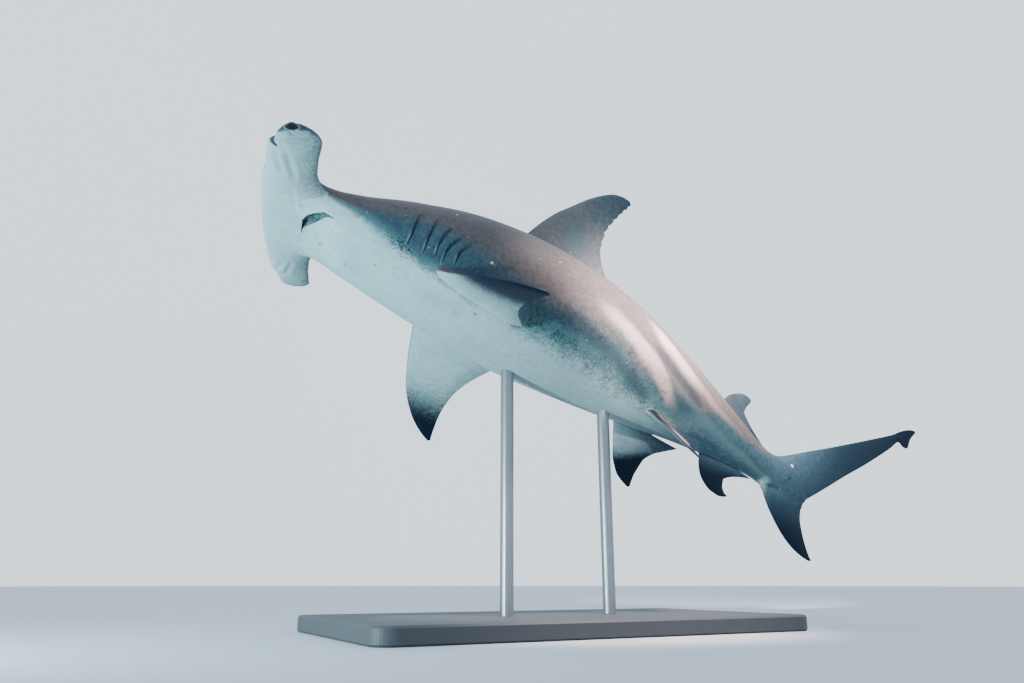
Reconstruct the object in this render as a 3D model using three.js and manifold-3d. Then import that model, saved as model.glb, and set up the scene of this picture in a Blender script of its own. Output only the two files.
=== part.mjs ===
import * as THREE from 'three';
import { mergeVertices } from 'three/addons/utils/BufferGeometryUtils.js';
import Module from 'manifold-3d';

const wasm = await Module();
wasm.setup();

// A great hammerhead shark at life size, rising and bending to its left, held on a display stand.
// Millimetres, Z up. The origin is the centre of the underside of the stand's base.
// Body places are written (back, left, up): thousandths of LENGTH behind the snout, to the
// animal's left and above its spine.

// Size and pose
const LENGTH = 3400;
const GAP = 0.3;
const SPINE_HEIGHT = 1080;
const NOSE_UP = 16.7;
const POSE_STATION = 300;
const SPINE_STEP = 5;
const SPINE_END = 960;
const STRAIGHT_BEHIND = 720;

// How the spine bends, in radians for one body length, at stations along it
const BEND_STATIONS = [20, 120, 220, 340, 460, 580, 700];
const SIDE_BEND = [0.52, 0.53, 0.55, 0.78, 0.49, 0.23, 0];
const LIFT_BEND = [-0.07, -0.08, -0.21, -0.39, -0.21, -0.27, -0.22];
const TWIST_BEND = [0.08, 0.03, 0.04, 0.07, 0.03, 0, 0];

// Extra turns in degrees about the forward, left and up axes, each spread over a short stretch
const HEAD_TURN = { from: 75, to: 115, twist: -6.7, lift: -1.5, side: 6.6 };
const TAIL_TURN = { from: 680, to: 720, twist: 7.7, lift: -3.3, side: -19.9 };

// Body sections: half width, height above the spine and depth below it
const BODY_STATIONS = [
  26, 38, 55, 80, 100, 118, 150, 200, 250, 300, 360, 420, 480, 540, 600, 660, 700, 735,
];
const BODY_WIDTH = [30, 43, 50, 50, 50, 53, 58, 66, 71, 73, 71, 63, 52.5, 40.5, 29, 19.5, 16, 11];
const BODY_UP = [6, 12, 17, 23, 32, 40, 52, 66, 73, 75, 73, 66, 56, 45, 35, 24.5, 20, 15];
const BODY_DOWN = [5, 10, 16, 27, 37, 43, 52, 62, 70, 73, 70, 64, 54, 43, 33, 23, 19, 13];
// How round a section is: 1 is an oval and less is squarer
const SQUARE_STATIONS = [26, 90, 120, 160];
const BODY_ROUND = [0.78, 0.8, 0.9, 1];
const BODY_RINGS = 44;
const BODY_SIDES = 32;

// Head wing: leading and trailing edge and half thickness at distances out from the middle
const WING_OUT = [0, 10, 30, 45, 64, 85, 98, 101.5, 104.5, 109, 115, 120.5, 124.5, 126];
const WING_LEAD = [14.6, 13.8, 14, 14.8, 16.4, 19, 21.2, 22.4, 26, 27.2, 29, 33, 38, 43];
const WING_TRAIL_OUT = [0, 40, 50, 57, 66, 75, 92, 107, 116, 120.5, 124.5, 126];
const WING_TRAIL = [84, 80, 73.5, 68, 64.6, 63, 63, 64.3, 64.6, 62.5, 57.5, 52];
const WING_HALF_OUT = [0, 50, 85, 110, 119, 123.5, 126];
const WING_HALF = [14, 12, 9.5, 8.8, 8.4, 6.6, 3.6];
const WING_ABOVE = 1.05;
const WING_BELOW = 0.9;
const WING_ROUNDNESS = 0.42;
const WING_SPANS = 36;
const WING_CHORDS = 12;

// Where the body is parted into pieces
const HEAD_END = 118;
const GILL_END = 262;
const TORSO_END = 512;
const STALK_END = 706;
// The line that parts the lobes of the tail fin, from the stalk to the fork, with its tilt in degrees
const LOBE_PARTING = { back: 757, up: -23, tilt: 102 };

// Eyes
const EYE = { back: 40, out: 121.8, up: 1.6, radius: 17 };
const LID = { length: 26, out: 17, height: 22, back: 40, side: 119.5 };

// Nostrils: notches under the front corners of the wing
const NOSTRIL = { back: 28, out: 103.4, up: -4.5, length: 19, width: 5, height: 18 };

// Mouth: the upper and the lower lip line from the middle to the corner, as (back, out)
const UPPER_LIP = [
  [57, 0], [56, 11], [57.2, 22], [60.5, 30], [65, 36.5], [70, 41], [76, 43.8], [84.5, 44.2],
];
const LOWER_LIP = [
  [59.2, 0], [59.4, 10], [62.8, 17.5], [67.4, 25.4], [71.8, 32], [76.2, 37.8], [80.2, 42], [84.3, 43.8],
];
const MOUTH_ROOF = -3;
const MOUTH_BELOW = -45;
const ROOF_SHRINK = 1.4;
const MOST_SHRINK = 0.35;
const MOUTH_STEPS = 3;

// Upper teeth: small pointed cones along the lip, sizes in millimetres
const TEETH = { perSide: 12, from: 0.25, to: 5.6, radius: 4.4, length: 14, root: -7.5, inset: 1.3 };

// Gill slits: top and bottom as (back, degrees above the flank) and the bow towards the head
const GILLS = [
  { top: [150, 21], bottom: [147, -17.5], bow: 0 },
  { top: [166, 18.5], bottom: [163, -19.5], bow: 2 },
  { top: [181, 14], bottom: [174, -19], bow: 3.6 },
  { top: [192.5, 7.5], bottom: [182, -22], bow: 3.8 },
  { top: [201.5, 3], bottom: [193, -17.5], bow: 3 },
];
const GILL_STEPS = 7;
// Sections in millimetres: along the body to the rear, and out of the skin
const GILL_FLAP = [[-36, -7], [-18, 3], [-4, 7], [3, 6], [-4, -9], [-20, -15]];
const GILL_GROOVE = [[-1.5, 16], [9, 16], [4.5, -2], [-4, -19], [-11, -19], [-5.5, -2]];

// Stand
const BASE = { length: 1500, width: 800, height: 50, corner: 60, bevel: 6, station: 330 };
const ROD_RADIUS = 22;
const ROD_STATIONS = [275, 400];

const thousandths = (value) => (value * LENGTH) / 1000;
const clamp = (value, low, high) => Math.min(high, Math.max(low, value));

// A smooth table: the curve through the listed values that never swings past them
function smoothTable(xs, ys) {
  const last = xs.length - 1;
  const rise = xs.slice(1).map((x, i) => (ys[i + 1] - ys[i]) / (x - xs[i]));
  const slope = ys.map((_, i) => {
    if (i === 0) return rise[0];
    if (i === last) return rise[last - 1];
    if (rise[i - 1] * rise[i] <= 0) return 0;
    const mean = (ys[i + 1] - ys[i - 1]) / (xs[i + 1] - xs[i - 1]);
    const limit = 3 * Math.min(Math.abs(rise[i - 1]), Math.abs(rise[i]));
    return Math.sign(mean) * Math.min(Math.abs(mean), limit);
  });
  return (value) => {
    const x = clamp(value, xs[0], xs[last]);
    let i = 0;
    while (i < last - 1 && x > xs[i + 1]) i += 1;
    const width = xs[i + 1] - xs[i];
    const t = (x - xs[i]) / width;
    const a = (1 + 2 * t) * (1 - t) ** 2;
    const b = t * (1 - t) ** 2 * width;
    const c = t * t * (3 - 2 * t);
    const d = t * t * (t - 1) * width;
    return a * ys[i] + b * slope[i] + c * ys[i + 1] + d * slope[i + 1];
  };
}

function straightTable(xs, ys) {
  return (value) => {
    const x = clamp(value, xs[0], xs[xs.length - 1]);
    let i = 0;
    while (i < xs.length - 2 && x > xs[i + 1]) i += 1;
    return ys[i] + ((ys[i + 1] - ys[i]) * (x - xs[i])) / (xs[i + 1] - xs[i]);
  };
}

// Spine: frames along the back, each a place and a turn (forward, left, up)
const sideBend = straightTable(BEND_STATIONS, SIDE_BEND);
const liftBend = straightTable(BEND_STATIONS, LIFT_BEND);
const twistBend = straightTable(BEND_STATIONS, TWIST_BEND);

function bendAt(station) {
  const bend = new THREE.Vector3();
  if (station < STRAIGHT_BEHIND) {
    bend.set(twistBend(station), liftBend(station), sideBend(station));
  }
  for (const turn of [HEAD_TURN, TAIL_TURN]) {
    if (station < turn.from || station > turn.to) continue;
    const share = 1000 / (turn.to - turn.from);
    const extra = new THREE.Vector3(turn.twist, turn.lift, turn.side);
    bend.addScaledVector(extra, THREE.MathUtils.degToRad(share));
  }
  return bend;
}

function spineFrames() {
  const count = SPINE_END / SPINE_STEP + 1;
  const start = POSE_STATION / SPINE_STEP;
  const rise = THREE.MathUtils.degToRad(NOSE_UP);
  const basis = new THREE.Matrix4().makeBasis(
    new THREE.Vector3(-Math.cos(rise), 0, Math.sin(rise)),
    new THREE.Vector3(0, -1, 0),
    new THREE.Vector3(Math.sin(rise), 0, Math.cos(rise)),
  );
  const frames = new Array(count);
  frames[start] = {
    place: new THREE.Vector3(0, 0, SPINE_HEIGHT),
    turn: new THREE.Quaternion().setFromRotationMatrix(basis),
  };
  const forward = (frame) => new THREE.Vector3(1, 0, 0).applyQuaternion(frame.turn);
  const walk = (from, to) => {
    const way = Math.sign(to - from);
    for (let i = from; i !== to; i += way) {
      const bend = bendAt((i + way / 2) * SPINE_STEP).multiplyScalar((way * SPINE_STEP) / 1000);
      const angle = bend.length();
      const step = new THREE.Quaternion();
      if (angle > 0) step.setFromAxisAngle(bend.clone().divideScalar(angle), angle);
      const next = { turn: frames[i].turn.clone().multiply(step) };
      const stride = -way * thousandths(SPINE_STEP);
      const mean = forward(frames[i]).add(forward(next)).multiplyScalar(stride / 2);
      next.place = frames[i].place.clone().add(mean);
      frames[i + way] = next;
    }
  };
  walk(start, count - 1);
  walk(start, 0);
  return frames;
}

const SPINE = spineFrames();

// The spine's place and turn at any station
function spineAt(station) {
  const at = clamp(station / SPINE_STEP, 0, SPINE.length - 1);
  const i = Math.min(Math.floor(at), SPINE.length - 2);
  const t = at - i;
  return {
    place: SPINE[i].place.clone().lerp(SPINE[i + 1].place, t),
    turn: SPINE[i].turn.clone().slerp(SPINE[i + 1].turn, t),
  };
}

// A point of the posed animal from its body place; nudge adds millimetres left and up
function pose(back, left, up, nudge = [0, 0]) {
  const station = clamp(back, 0, SPINE_END);
  const frame = spineAt(station);
  const offset = new THREE.Vector3(
    thousandths(station - back),
    thousandths(left) + nudge[0],
    thousandths(up) + nudge[1],
  );
  return offset.applyQuaternion(frame.turn).add(frame.place);
}

// Solids
function solidOf(geometry) {
  const bare = geometry.clone();
  bare.deleteAttribute('normal');
  bare.deleteAttribute('uv');
  const merged = mergeVertices(bare, 1e-3);
  return new wasm.Manifold(new wasm.Mesh({
    numProp: 3,
    vertProperties: new Float32Array(merged.attributes.position.array),
    triVerts: new Uint32Array(merged.index.array),
  }));
}

// A closed skin through rings of equal, even length. In each ring point k and point n - k face
// each other across the blade, and the triangles of both faces mirror one another.
function loft(rings) {
  const n = rings[0].length;
  const half = n / 2;
  const points = rings.flat();
  const faces = [];
  for (let i = 0; i < rings.length - 1; i += 1) {
    for (let k = 0; k < n; k += 1) {
      const a = i * n + k;
      const b = i * n + ((k + 1) % n);
      const c = b + n;
      const d = a + n;
      if (k < half) faces.push([a, b, c], [a, c, d]);
      else faces.push([a, b, d], [b, c, d]);
    }
  }
  for (const [start, flip] of [[0, true], [(rings.length - 1) * n, false]]) {
    for (let k = 0; k < half; k += 1) {
      const corners = [start + k, start + k + 1, start + ((n - k - 1) % n), start + ((n - k) % n)];
      const tris = [[corners[0], corners[1], corners[2]], [corners[0], corners[2], corners[3]]];
      for (const tri of tris) {
        if (new Set(tri).size < 3) continue;
        faces.push(flip ? [tri[2], tri[1], tri[0]] : tri);
      }
    }
  }
  let volume = 0;
  for (const [a, b, c] of faces) volume += points[a].dot(points[b].clone().cross(points[c]));
  const numbers = points.flatMap((point) => point.toArray());
  const geometry = new THREE.BufferGeometry();
  geometry.setAttribute('position', new THREE.Float32BufferAttribute(numbers, 3));
  geometry.setIndex(faces.flatMap((f) => (volume > 0 ? f : [f[0], f[2], f[1]])));
  return solidOf(geometry);
}

const join = (solids) => solids.reduce((whole, solid) => whole.add(solid));

function largest(solid) {
  return solid.decompose().reduce((best, piece) => (piece.volume() > best.volume() ? piece : best));
}

// Body
const bodyWidth = smoothTable(BODY_STATIONS, BODY_WIDTH);
const bodyUp = smoothTable(BODY_STATIONS, BODY_UP);
const bodyDown = smoothTable(BODY_STATIONS, BODY_DOWN);
const bodyRound = smoothTable(SQUARE_STATIONS, BODY_ROUND);
const squared = (value, power) => Math.sign(value) * Math.abs(value) ** power;

function bodyRing(station, grow) {
  const ring = [];
  for (let k = 0; k < BODY_SIDES; k += 1) {
    const angle = (2 * Math.PI * k) / BODY_SIDES;
    const [across, high] = [Math.cos(angle), Math.sin(angle)].map((v) => squared(v, bodyRound(station)));
    const tall = high > 0 ? bodyUp(station) : bodyDown(station);
    ring.push(pose(station, bodyWidth(station) * across, tall * high, [grow * across, grow * high]));
  }
  return ring;
}

function bodySolid(grow = 0) {
  const first = BODY_STATIONS[0];
  const last = BODY_STATIONS[BODY_STATIONS.length - 1];
  const rings = [];
  for (let i = 0; i <= BODY_RINGS; i += 1) {
    rings.push(bodyRing(first + ((last - first) * i) / BODY_RINGS, grow));
  }
  return loft(rings);
}

// Head wing
const wingLead = smoothTable(WING_OUT, WING_LEAD);
const wingTrail = smoothTable(WING_TRAIL_OUT, WING_TRAIL);
const wingHalf = smoothTable(WING_HALF_OUT, WING_HALF);

// Height of a blade's section at a share of the way from its leading to its trailing edge. It is
// thickest at the peak, and roundness says how blunt its rear is.
const BLADE_PEAK = 0.38;

function bladeShape(share, roundness) {
  if (share < BLADE_PEAK) return Math.sqrt(1 - (1 - share / BLADE_PEAK) ** 2);
  const past = (share - BLADE_PEAK) / (1 - BLADE_PEAK);
  return (1 - past ** 1.7) * (1 - roundness) + roundness * Math.sqrt(Math.max(0, 1 - past ** 6));
}

function wingSolid() {
  const edge = WING_OUT[WING_OUT.length - 1];
  const rings = [];
  for (let i = 0; i <= WING_SPANS; i += 1) {
    const out = edge * Math.sin((Math.PI / 2) * (2 * i / WING_SPANS - 1));
    const span = Math.abs(out);
    const lead = wingLead(span);
    const trail = wingTrail(span);
    const ring = [];
    for (let k = 0; k < 2 * WING_CHORDS; k += 1) {
      const share = (1 - Math.cos((Math.PI * k) / WING_CHORDS)) / 2;
      const side = k < WING_CHORDS ? WING_ABOVE : -WING_BELOW;
      const height = k % WING_CHORDS === 0 ? 0 : side * wingHalf(span) * bladeShape(share, WING_ROUNDNESS);
      ring.push(pose(lead + (trail - lead) * share, out, height));
    }
    rings.push(ring);
  }
  return loft(rings);
}

// Fins. Each row of a fin reads: leading edge (back, out), trailing edge (back, out) and half
// thickness in millimetres. The first rows lie inside the body.
const FIRST_DORSAL = [
  [262, 52, 352, 52, 22],
  [268, 74, 360, 70, 19],
  [275, 88, 392, 79, 16],
  [286, 108, 381, 90, 14],
  [300, 130, 370, 105, 12.5],
  [316, 150, 364.5, 124, 11],
  [332, 170, 365, 143, 9.5],
  [347, 186, 370, 160, 8],
  [361, 198, 376.5, 176, 6],
  [374, 203.8, 383, 190, 4.5],
  [385, 205, 388.5, 201.5, 2],
];
const SECOND_DORSAL = [
  [588, 24, 630, 18, 8],
  [594, 38, 638, 26, 7],
  [600, 48, 694, 24, 5.5],
  [607, 57, 672, 31, 5],
  [616, 64, 650, 40, 4.5],
  [626, 70, 638.5, 47, 4],
  [635, 72.8, 640.5, 57, 3],
  [642, 73.2, 645.5, 66, 2.2],
  [646.5, 72, 647.5, 70.5, 1.2],
];
const ANAL = [
  [570, -22, 632, -18, 8],
  [576, -40, 642, -26, 7],
  [580, -54, 676, -25, 5.5],
  [587, -64, 655, -33, 5],
  [597, -70, 638, -41, 4.5],
  [609, -73, 627, -49, 4],
  [621, -73, 628, -59, 3],
  [631, -70.5, 634, -64.5, 2.2],
  [638.5, -67, 639.3, -65.5, 1.2],
];
const UPPER_LOBE = [
  [694, 17, 704, -18, 44],
  [706, 24, 728, -22, 36],
  [722, 34, 752, -22, 29],
  [740, 47, 764, -10, 23],
  [764, 65, 780, 8, 18],
  [790, 84, 798, 29, 14.5],
  [815, 103, 820, 55, 12],
  [840, 122, 845, 83, 10],
  [862, 139, 867, 109, 8.5],
  [882, 154.5, 889, 136, 7],
  [896, 166, 905.5, 157, 6],
  [904, 174, 913, 153, 5.2],
  [915, 183.5, 920.5, 155, 4.4],
  [926, 190.5, 926, 174, 3.2],
  [935, 193, 934, 189, 1.6],
];
const LOWER_LOBE = [
  [688, -6, 752, 12, 20],
  [695, -24, 757.5, -18, 16],
  [703, -37, 757, -31, 12],
  [713, -51.5, 758, -44, 10],
  [724, -65, 762, -57, 8],
  [737, -77, 767, -69, 6.5],
  [751, -85.5, 772, -78.5, 5],
  [765, -90, 776.5, -85.5, 3.4],
  [776, -91, 779.5, -89, 1.6],
];
const PECTORAL = [
  [-4, -26, 54, -26, 19],
  [-1, -10, 60, -8, 17],
  [2, 2, 66, 4, 15.5],
  [5, 12, 107, 14, 13.5],
  [10, 28, 100, 30, 12.5],
  [16, 46, 93, 46, 11.5],
  [24, 66, 88, 65, 10],
  [34, 87, 87, 85, 8.6],
  [47, 105, 89, 103, 7],
  [63, 121, 92.5, 118, 5.4],
  [80, 132, 96, 130, 3.6],
  [94, 138, 98.5, 136.5, 1.8],
];
const PELVIC = [
  [-4, -16, 44, -26, 9],
  [0, -4, 48, -13, 8.5],
  [4, 4, 56, -12, 8],
  [10, 13, 102, -15, 6.5],
  [17, 23, 86, -3, 6],
  [25, 34, 73, 8, 5.2],
  [34, 42, 66, 22, 4.5],
  [44, 49, 66, 36, 3.6],
  [56, 53, 68, 47, 2.6],
  [67, 55.5, 70, 53.5, 1.4],
];

// How each paired fin sits: root on the body, droop below level in degrees, change of that droop
// over 200 thousandths out, share of sweep to the rear, pitch of the trailing edge down, change of
// that pitch over 100 thousandths out, and size
const PAIRED_FINS = {
  pectoral_fin_left: {
    rows: PECTORAL,
    side: 1,
    root: [179.8, 51.7, -33.2],
    droop: 23.6,
    curl: -13.6,
    sweep: -0.19,
    pitch: 11.6,
    washout: -5.7,
    size: 0.92,
  },
  pectoral_fin_right: {
    rows: PECTORAL,
    side: -1,
    root: [196.2, 57.9, -33.4],
    droop: 32.7,
    curl: 2,
    sweep: 0.006,
    pitch: 6.2,
    washout: 0,
    size: 1.036,
  },
  pelvic_fin_left: {
    rows: PELVIC,
    side: 1,
    root: [456.5, 29.9, -51.6],
    droop: 40.7,
    curl: 0,
    sweep: 0.178,
    pitch: 6.1,
    washout: 0,
    size: 0.928,
  },
  pelvic_fin_right: {
    rows: PELVIC,
    side: -1,
    root: [463.6, 31.6, -50.8],
    droop: 62.9,
    curl: 0,
    sweep: 0.004,
    pitch: 0.6,
    washout: 0,
    size: 0.993,
  },
};
const PITCH_PIVOT = 33;

const FIN_ROUNDNESS = 0.12;
const FIN_CHORDS = 7;
const ROWS_BETWEEN = 2;

// Body place of a fin point: along the back, out from the root and off the blade in millimetres
const midFin = (back, out, off) => pose(back, 0, out, [off, 0]);

function pairedFin({ side, root, droop, curl, sweep, pitch, washout, size }) {
  return (back, out, off) => {
    const along = back * size - PITCH_PIVOT;
    const reach = out * size;
    const lean = THREE.MathUtils.degToRad(pitch + (washout * reach) / 100);
    const angle = THREE.MathUtils.degToRad(droop + (curl * reach) / 200);
    const [across, down] = [Math.cos(angle), Math.sin(angle)];
    const drop = -along * Math.sin(lean);
    return pose(
      root[0] + PITCH_PIVOT + along * Math.cos(lean) + sweep * Math.max(reach, 0),
      side * (root[1] + reach * across + drop * down),
      root[2] - reach * down + drop * across,
      [side * off * down, off * across],
    );
  };
}

function finSolid(rows, toBody) {
  const stations = rows.map((_, i) => i);
  const columns = rows[0].map((_, column) => smoothTable(stations, rows.map((row) => row[column])));
  const count = (rows.length - 1) * ROWS_BETWEEN;
  const rings = [];
  for (let i = 0; i <= count; i += 1) {
    const row = columns.map((column) => column(i / ROWS_BETWEEN));
    const [leadBack, leadOut, trailBack, trailOut, half] = row;
    const ring = [];
    for (let k = 0; k < 2 * FIN_CHORDS; k += 1) {
      const share = (1 - Math.cos((Math.PI * k) / FIN_CHORDS)) / 2;
      const side = k < FIN_CHORDS ? 1 : -1;
      const off = k % FIN_CHORDS === 0 ? 0 : side * half * bladeShape(share, FIN_ROUNDNESS);
      const back = leadBack + (trailBack - leadBack) * share;
      const out = leadOut + (trailOut - leadOut) * share;
      ring.push(toBody(back, out, off));
    }
    rings.push(ring);
  }
  return loft(rings);
}

// Cutting. A block fills everything ahead of or behind a station and reaches half a gap past it.
const BLOCK = 3000;

function blockAt(back, left, up, tilt, ahead) {
  const way = ahead ? 1 : -1;
  const frame = spineAt(back);
  const lean = new THREE.Quaternion();
  lean.setFromAxisAngle(new THREE.Vector3(0, 1, 0), THREE.MathUtils.degToRad(tilt));
  const turn = frame.turn.clone().multiply(lean);
  const box = new THREE.BoxGeometry(BLOCK, BLOCK, BLOCK);
  box.translate((way * (BLOCK - GAP)) / 2, 0, 0);
  box.applyQuaternion(turn);
  box.translate(...pose(back, left, up).toArray());
  return solidOf(box);
}

const keepBehind = (solid, station) => solid.subtract(blockAt(station, 0, 0, 0, true));
const keepAhead = (solid, station) => solid.subtract(blockAt(station, 0, 0, 0, false));

function ellipsoid(radii, centre, turn, columns = 16, rows = 10) {
  const ball = new THREE.SphereGeometry(1, columns, rows);
  ball.rotateX(Math.PI / 2);
  ball.scale(...radii);
  ball.applyQuaternion(turn);
  ball.translate(...centre.toArray());
  return solidOf(ball);
}

// Eyes sit in sockets at the tips of the wing, inside raised lids
const SIDES = { left: 1, right: -1 };

function eyeSolid(side, grow = 0) {
  const radius = EYE.radius + grow;
  const centre = pose(EYE.back, side * EYE.out, EYE.up);
  return ellipsoid([radius, radius, radius], centre, spineAt(EYE.back).turn);
}

function lidSolid(side) {
  const centre = pose(LID.back, side * LID.side, 0);
  return ellipsoid([LID.length, LID.out, LID.height], centre, spineAt(LID.back).turn);
}

function nostrilSolid(side) {
  const centre = pose(NOSTRIL.back, side * NOSTRIL.out, NOSTRIL.up);
  const radii = [NOSTRIL.length, NOSTRIL.width, NOSTRIL.height];
  return ellipsoid(radii, centre, spineAt(NOSTRIL.back).turn, 12, 8);
}

// A point (back, out) of a lip line; step 0 is the middle of the mouth and the last its left corner
function lipLine(points) {
  const steps = points.map((_, i) => i);
  const back = smoothTable(steps, points.map((point) => point[0]));
  const out = smoothTable(steps, points.map((point) => point[1]));
  return (step) => [back(Math.abs(step)), Math.sign(step) * out(Math.abs(step))];
}

const upperLip = lipLine(UPPER_LIP);
const lowerLip = lipLine(LOWER_LIP);

// The open space of the mouth: a crescent between the lips, narrower at its roof
function mouthSolid() {
  const last = UPPER_LIP.length - 1;
  const rings = [];
  for (let i = -last * MOUTH_STEPS; i <= last * MOUTH_STEPS; i += 1) {
    const step = i / MOUTH_STEPS;
    const upper = upperLip(step);
    const lower = lowerLip(step);
    const width = Math.hypot(lower[0] - upper[0], lower[1] - upper[1]);
    const shrink = Math.min(MOST_SHRINK, ROOF_SHRINK / width);
    const between = (share) => [0, 1].map((axis) => upper[axis] + (lower[axis] - upper[axis]) * share);
    rings.push([
      pose(...upper, MOUTH_BELOW),
      pose(...between(shrink), MOUTH_ROOF),
      pose(...between(1 - shrink), MOUTH_ROOF),
      pose(...lower, MOUTH_BELOW),
    ]);
  }
  return loft(rings);
}

function toothSolid(step) {
  const upper = upperLip(step);
  const lower = lowerLip(step);
  const width = Math.hypot(lower[0] - upper[0], lower[1] - upper[1]);
  const place = [0, 1].map((axis) => upper[axis] + ((lower[axis] - upper[axis]) * TEETH.inset) / width);
  const tooth = new THREE.ConeGeometry(TEETH.radius, TEETH.length, 4);
  tooth.rotateX(-Math.PI / 2);
  tooth.applyQuaternion(spineAt(place[0]).turn);
  tooth.translate(...pose(...place, TEETH.root, [0, -TEETH.length / 2]).toArray());
  return solidOf(tooth);
}

function teethSolids() {
  const teeth = [];
  for (let i = 0; i < TEETH.perSide; i += 1) {
    const step = TEETH.from + ((TEETH.to - TEETH.from) * i) / (TEETH.perSide - 1);
    teeth.push(toothSolid(step), toothSolid(-step));
  }
  return teeth;
}

// A blade that follows a gill slit over the skin; its section keeps its form and eases off at the ends
function gillSolid(gill, side, section) {
  const rings = [];
  for (let i = 0; i <= GILL_STEPS; i += 1) {
    const t = i / GILL_STEPS;
    const ease = 0.2 + 0.8 * Math.sqrt(Math.sin(Math.PI * t));
    const back = gill.top[0] + (gill.bottom[0] - gill.top[0]) * t - gill.bow * 4 * t * (1 - t);
    const angle = THREE.MathUtils.degToRad(gill.top[1] + (gill.bottom[1] - gill.top[1]) * t);
    const [across, high] = [Math.cos(angle), Math.sin(angle)];
    rings.push(section.map(([along, lift]) => {
      const station = back + (along * ease * 1000) / LENGTH;
      const tall = high > 0 ? bodyUp(station) : bodyDown(station);
      const rise = lift * ease;
      const place = [station, side * bodyWidth(station) * across, tall * high];
      return pose(...place, [side * rise * across, rise * high]);
    }));
  }
  return loft(rings);
}

// Stand
function rodSolid(station) {
  const top = pose(station, 0, 0);
  const rod = new THREE.CylinderGeometry(ROD_RADIUS, ROD_RADIUS, top.z - BASE.height - GAP, 32);
  rod.rotateX(Math.PI / 2);
  rod.translate(top.x, top.y, (top.z + BASE.height + GAP) / 2);
  return solidOf(rod);
}

const STAND_CENTRE = pose(BASE.station, 0, 0);

function baseSolid() {
  const [x, y, r] = [BASE.length / 2, BASE.width / 2, BASE.corner];
  const outline = new THREE.Shape();
  outline.moveTo(-x + r, -y);
  outline.lineTo(x - r, -y);
  outline.absarc(x - r, -y + r, r, -Math.PI / 2, 0, false);
  outline.absarc(x - r, y - r, r, 0, Math.PI / 2, false);
  outline.absarc(-x + r, y - r, r, Math.PI / 2, Math.PI, false);
  outline.absarc(-x + r, -y + r, r, Math.PI, 1.5 * Math.PI, false);
  const plate = new THREE.ExtrudeGeometry(outline, {
    depth: BASE.height - 2 * BASE.bevel,
    curveSegments: 5,
    bevelEnabled: true,
    bevelThickness: BASE.bevel,
    bevelSize: BASE.bevel,
    bevelOffset: -BASE.bevel,
    bevelSegments: 1,
  });
  plate.translate(STAND_CENTRE.x, STAND_CENTRE.y, BASE.bevel);
  return solidOf(plate);
}

// Colours and finish
const MATERIALS = {
  back: { color: 0x6f6a66, roughness: 0.55, metalness: 0 },
  fin: { color: 0x6a6663, roughness: 0.55, metalness: 0 },
  eye: { color: 0x15120f, roughness: 0.15, metalness: 0 },
  stand: { color: 0x3a3c3f, roughness: 0.5, metalness: 0 },
  rod: { color: 0x9a9da1, roughness: 0.35, metalness: 0.9 },
};

const shark = new THREE.Group();

function show(name, solid, look) {
  const { vertProperties, triVerts } = largest(solid).getMesh();
  const geometry = new THREE.BufferGeometry();
  geometry.setAttribute('position', new THREE.BufferAttribute(new Float32Array(vertProperties), 3));
  geometry.setIndex(Array.from(triVerts));
  geometry.computeVertexNormals();
  const mesh = new THREE.Mesh(geometry, new THREE.MeshStandardMaterial(MATERIALS[look]));
  mesh.name = name;
  mesh.position.set(-STAND_CENTRE.x, -STAND_CENTRE.y, 0);
  shark.add(mesh);
}

// Whole body, then its pieces from head to tail
const trunk = bodySolid();
const grownTrunk = bodySolid(GAP);

let head = join([keepAhead(trunk, HEAD_END), wingSolid(), lidSolid(SIDES.left), lidSolid(SIDES.right)]);
head = head.subtract(mouthSolid());
for (const side of Object.values(SIDES)) {
  head = head.subtract(nostrilSolid(side)).subtract(eyeSolid(side, GAP));
}
show('head', join([head, ...teethSolids()]), 'back');
for (const [name, side] of Object.entries(SIDES)) show(`eye_${name}`, eyeSolid(side), 'eye');

let gillRegion = keepAhead(keepBehind(trunk, HEAD_END), GILL_END);
for (const side of Object.values(SIDES)) {
  for (const gill of GILLS) gillRegion = gillRegion.add(gillSolid(gill, side, GILL_FLAP));
}
for (const side of Object.values(SIDES)) {
  for (const gill of GILLS) gillRegion = gillRegion.subtract(gillSolid(gill, side, GILL_GROOVE));
}
show('gill_region', gillRegion, 'back');
show('torso', keepAhead(keepBehind(trunk, GILL_END), TORSO_END), 'back');
show('tail_stalk', keepAhead(keepBehind(trunk, TORSO_END), STALK_END), 'back');

show('dorsal_fin_first', finSolid(FIRST_DORSAL, midFin).subtract(grownTrunk), 'fin');
show('dorsal_fin_second', finSolid(SECOND_DORSAL, midFin).subtract(grownTrunk), 'fin');
show('anal_fin', finSolid(ANAL, midFin).subtract(grownTrunk), 'fin');
for (const [name, fin] of Object.entries(PAIRED_FINS)) {
  show(name, finSolid(fin.rows, pairedFin(fin)).subtract(grownTrunk), 'fin');
}

// Tail fin: both lobes as one, then parted
const tailFin = keepBehind(
  join([finSolid(UPPER_LOBE, midFin), finSolid(LOWER_LOBE, midFin), trunk]),
  STALK_END,
);
const { back: forkBack, up: forkUp, tilt } = LOBE_PARTING;
show('caudal_upper_lobe', tailFin.subtract(blockAt(forkBack, 0, forkUp, tilt, true)), 'fin');
show('caudal_lower_lobe', tailFin.subtract(blockAt(forkBack, 0, forkUp, tilt, false)), 'fin');

show('stand_base', baseSolid(), 'stand');
for (const [i, name] of ['front', 'rear'].entries()) {
  show(`stand_rod_${name}`, rodSolid(ROD_STATIONS[i]).subtract(grownTrunk), 'rod');
}

export default shark;
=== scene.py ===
import math

import bpy
import numpy as np
from mathutils import Matrix, Vector
from mathutils.bvhtree import BVHTree
from mathutils.kdtree import KDTree


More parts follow.
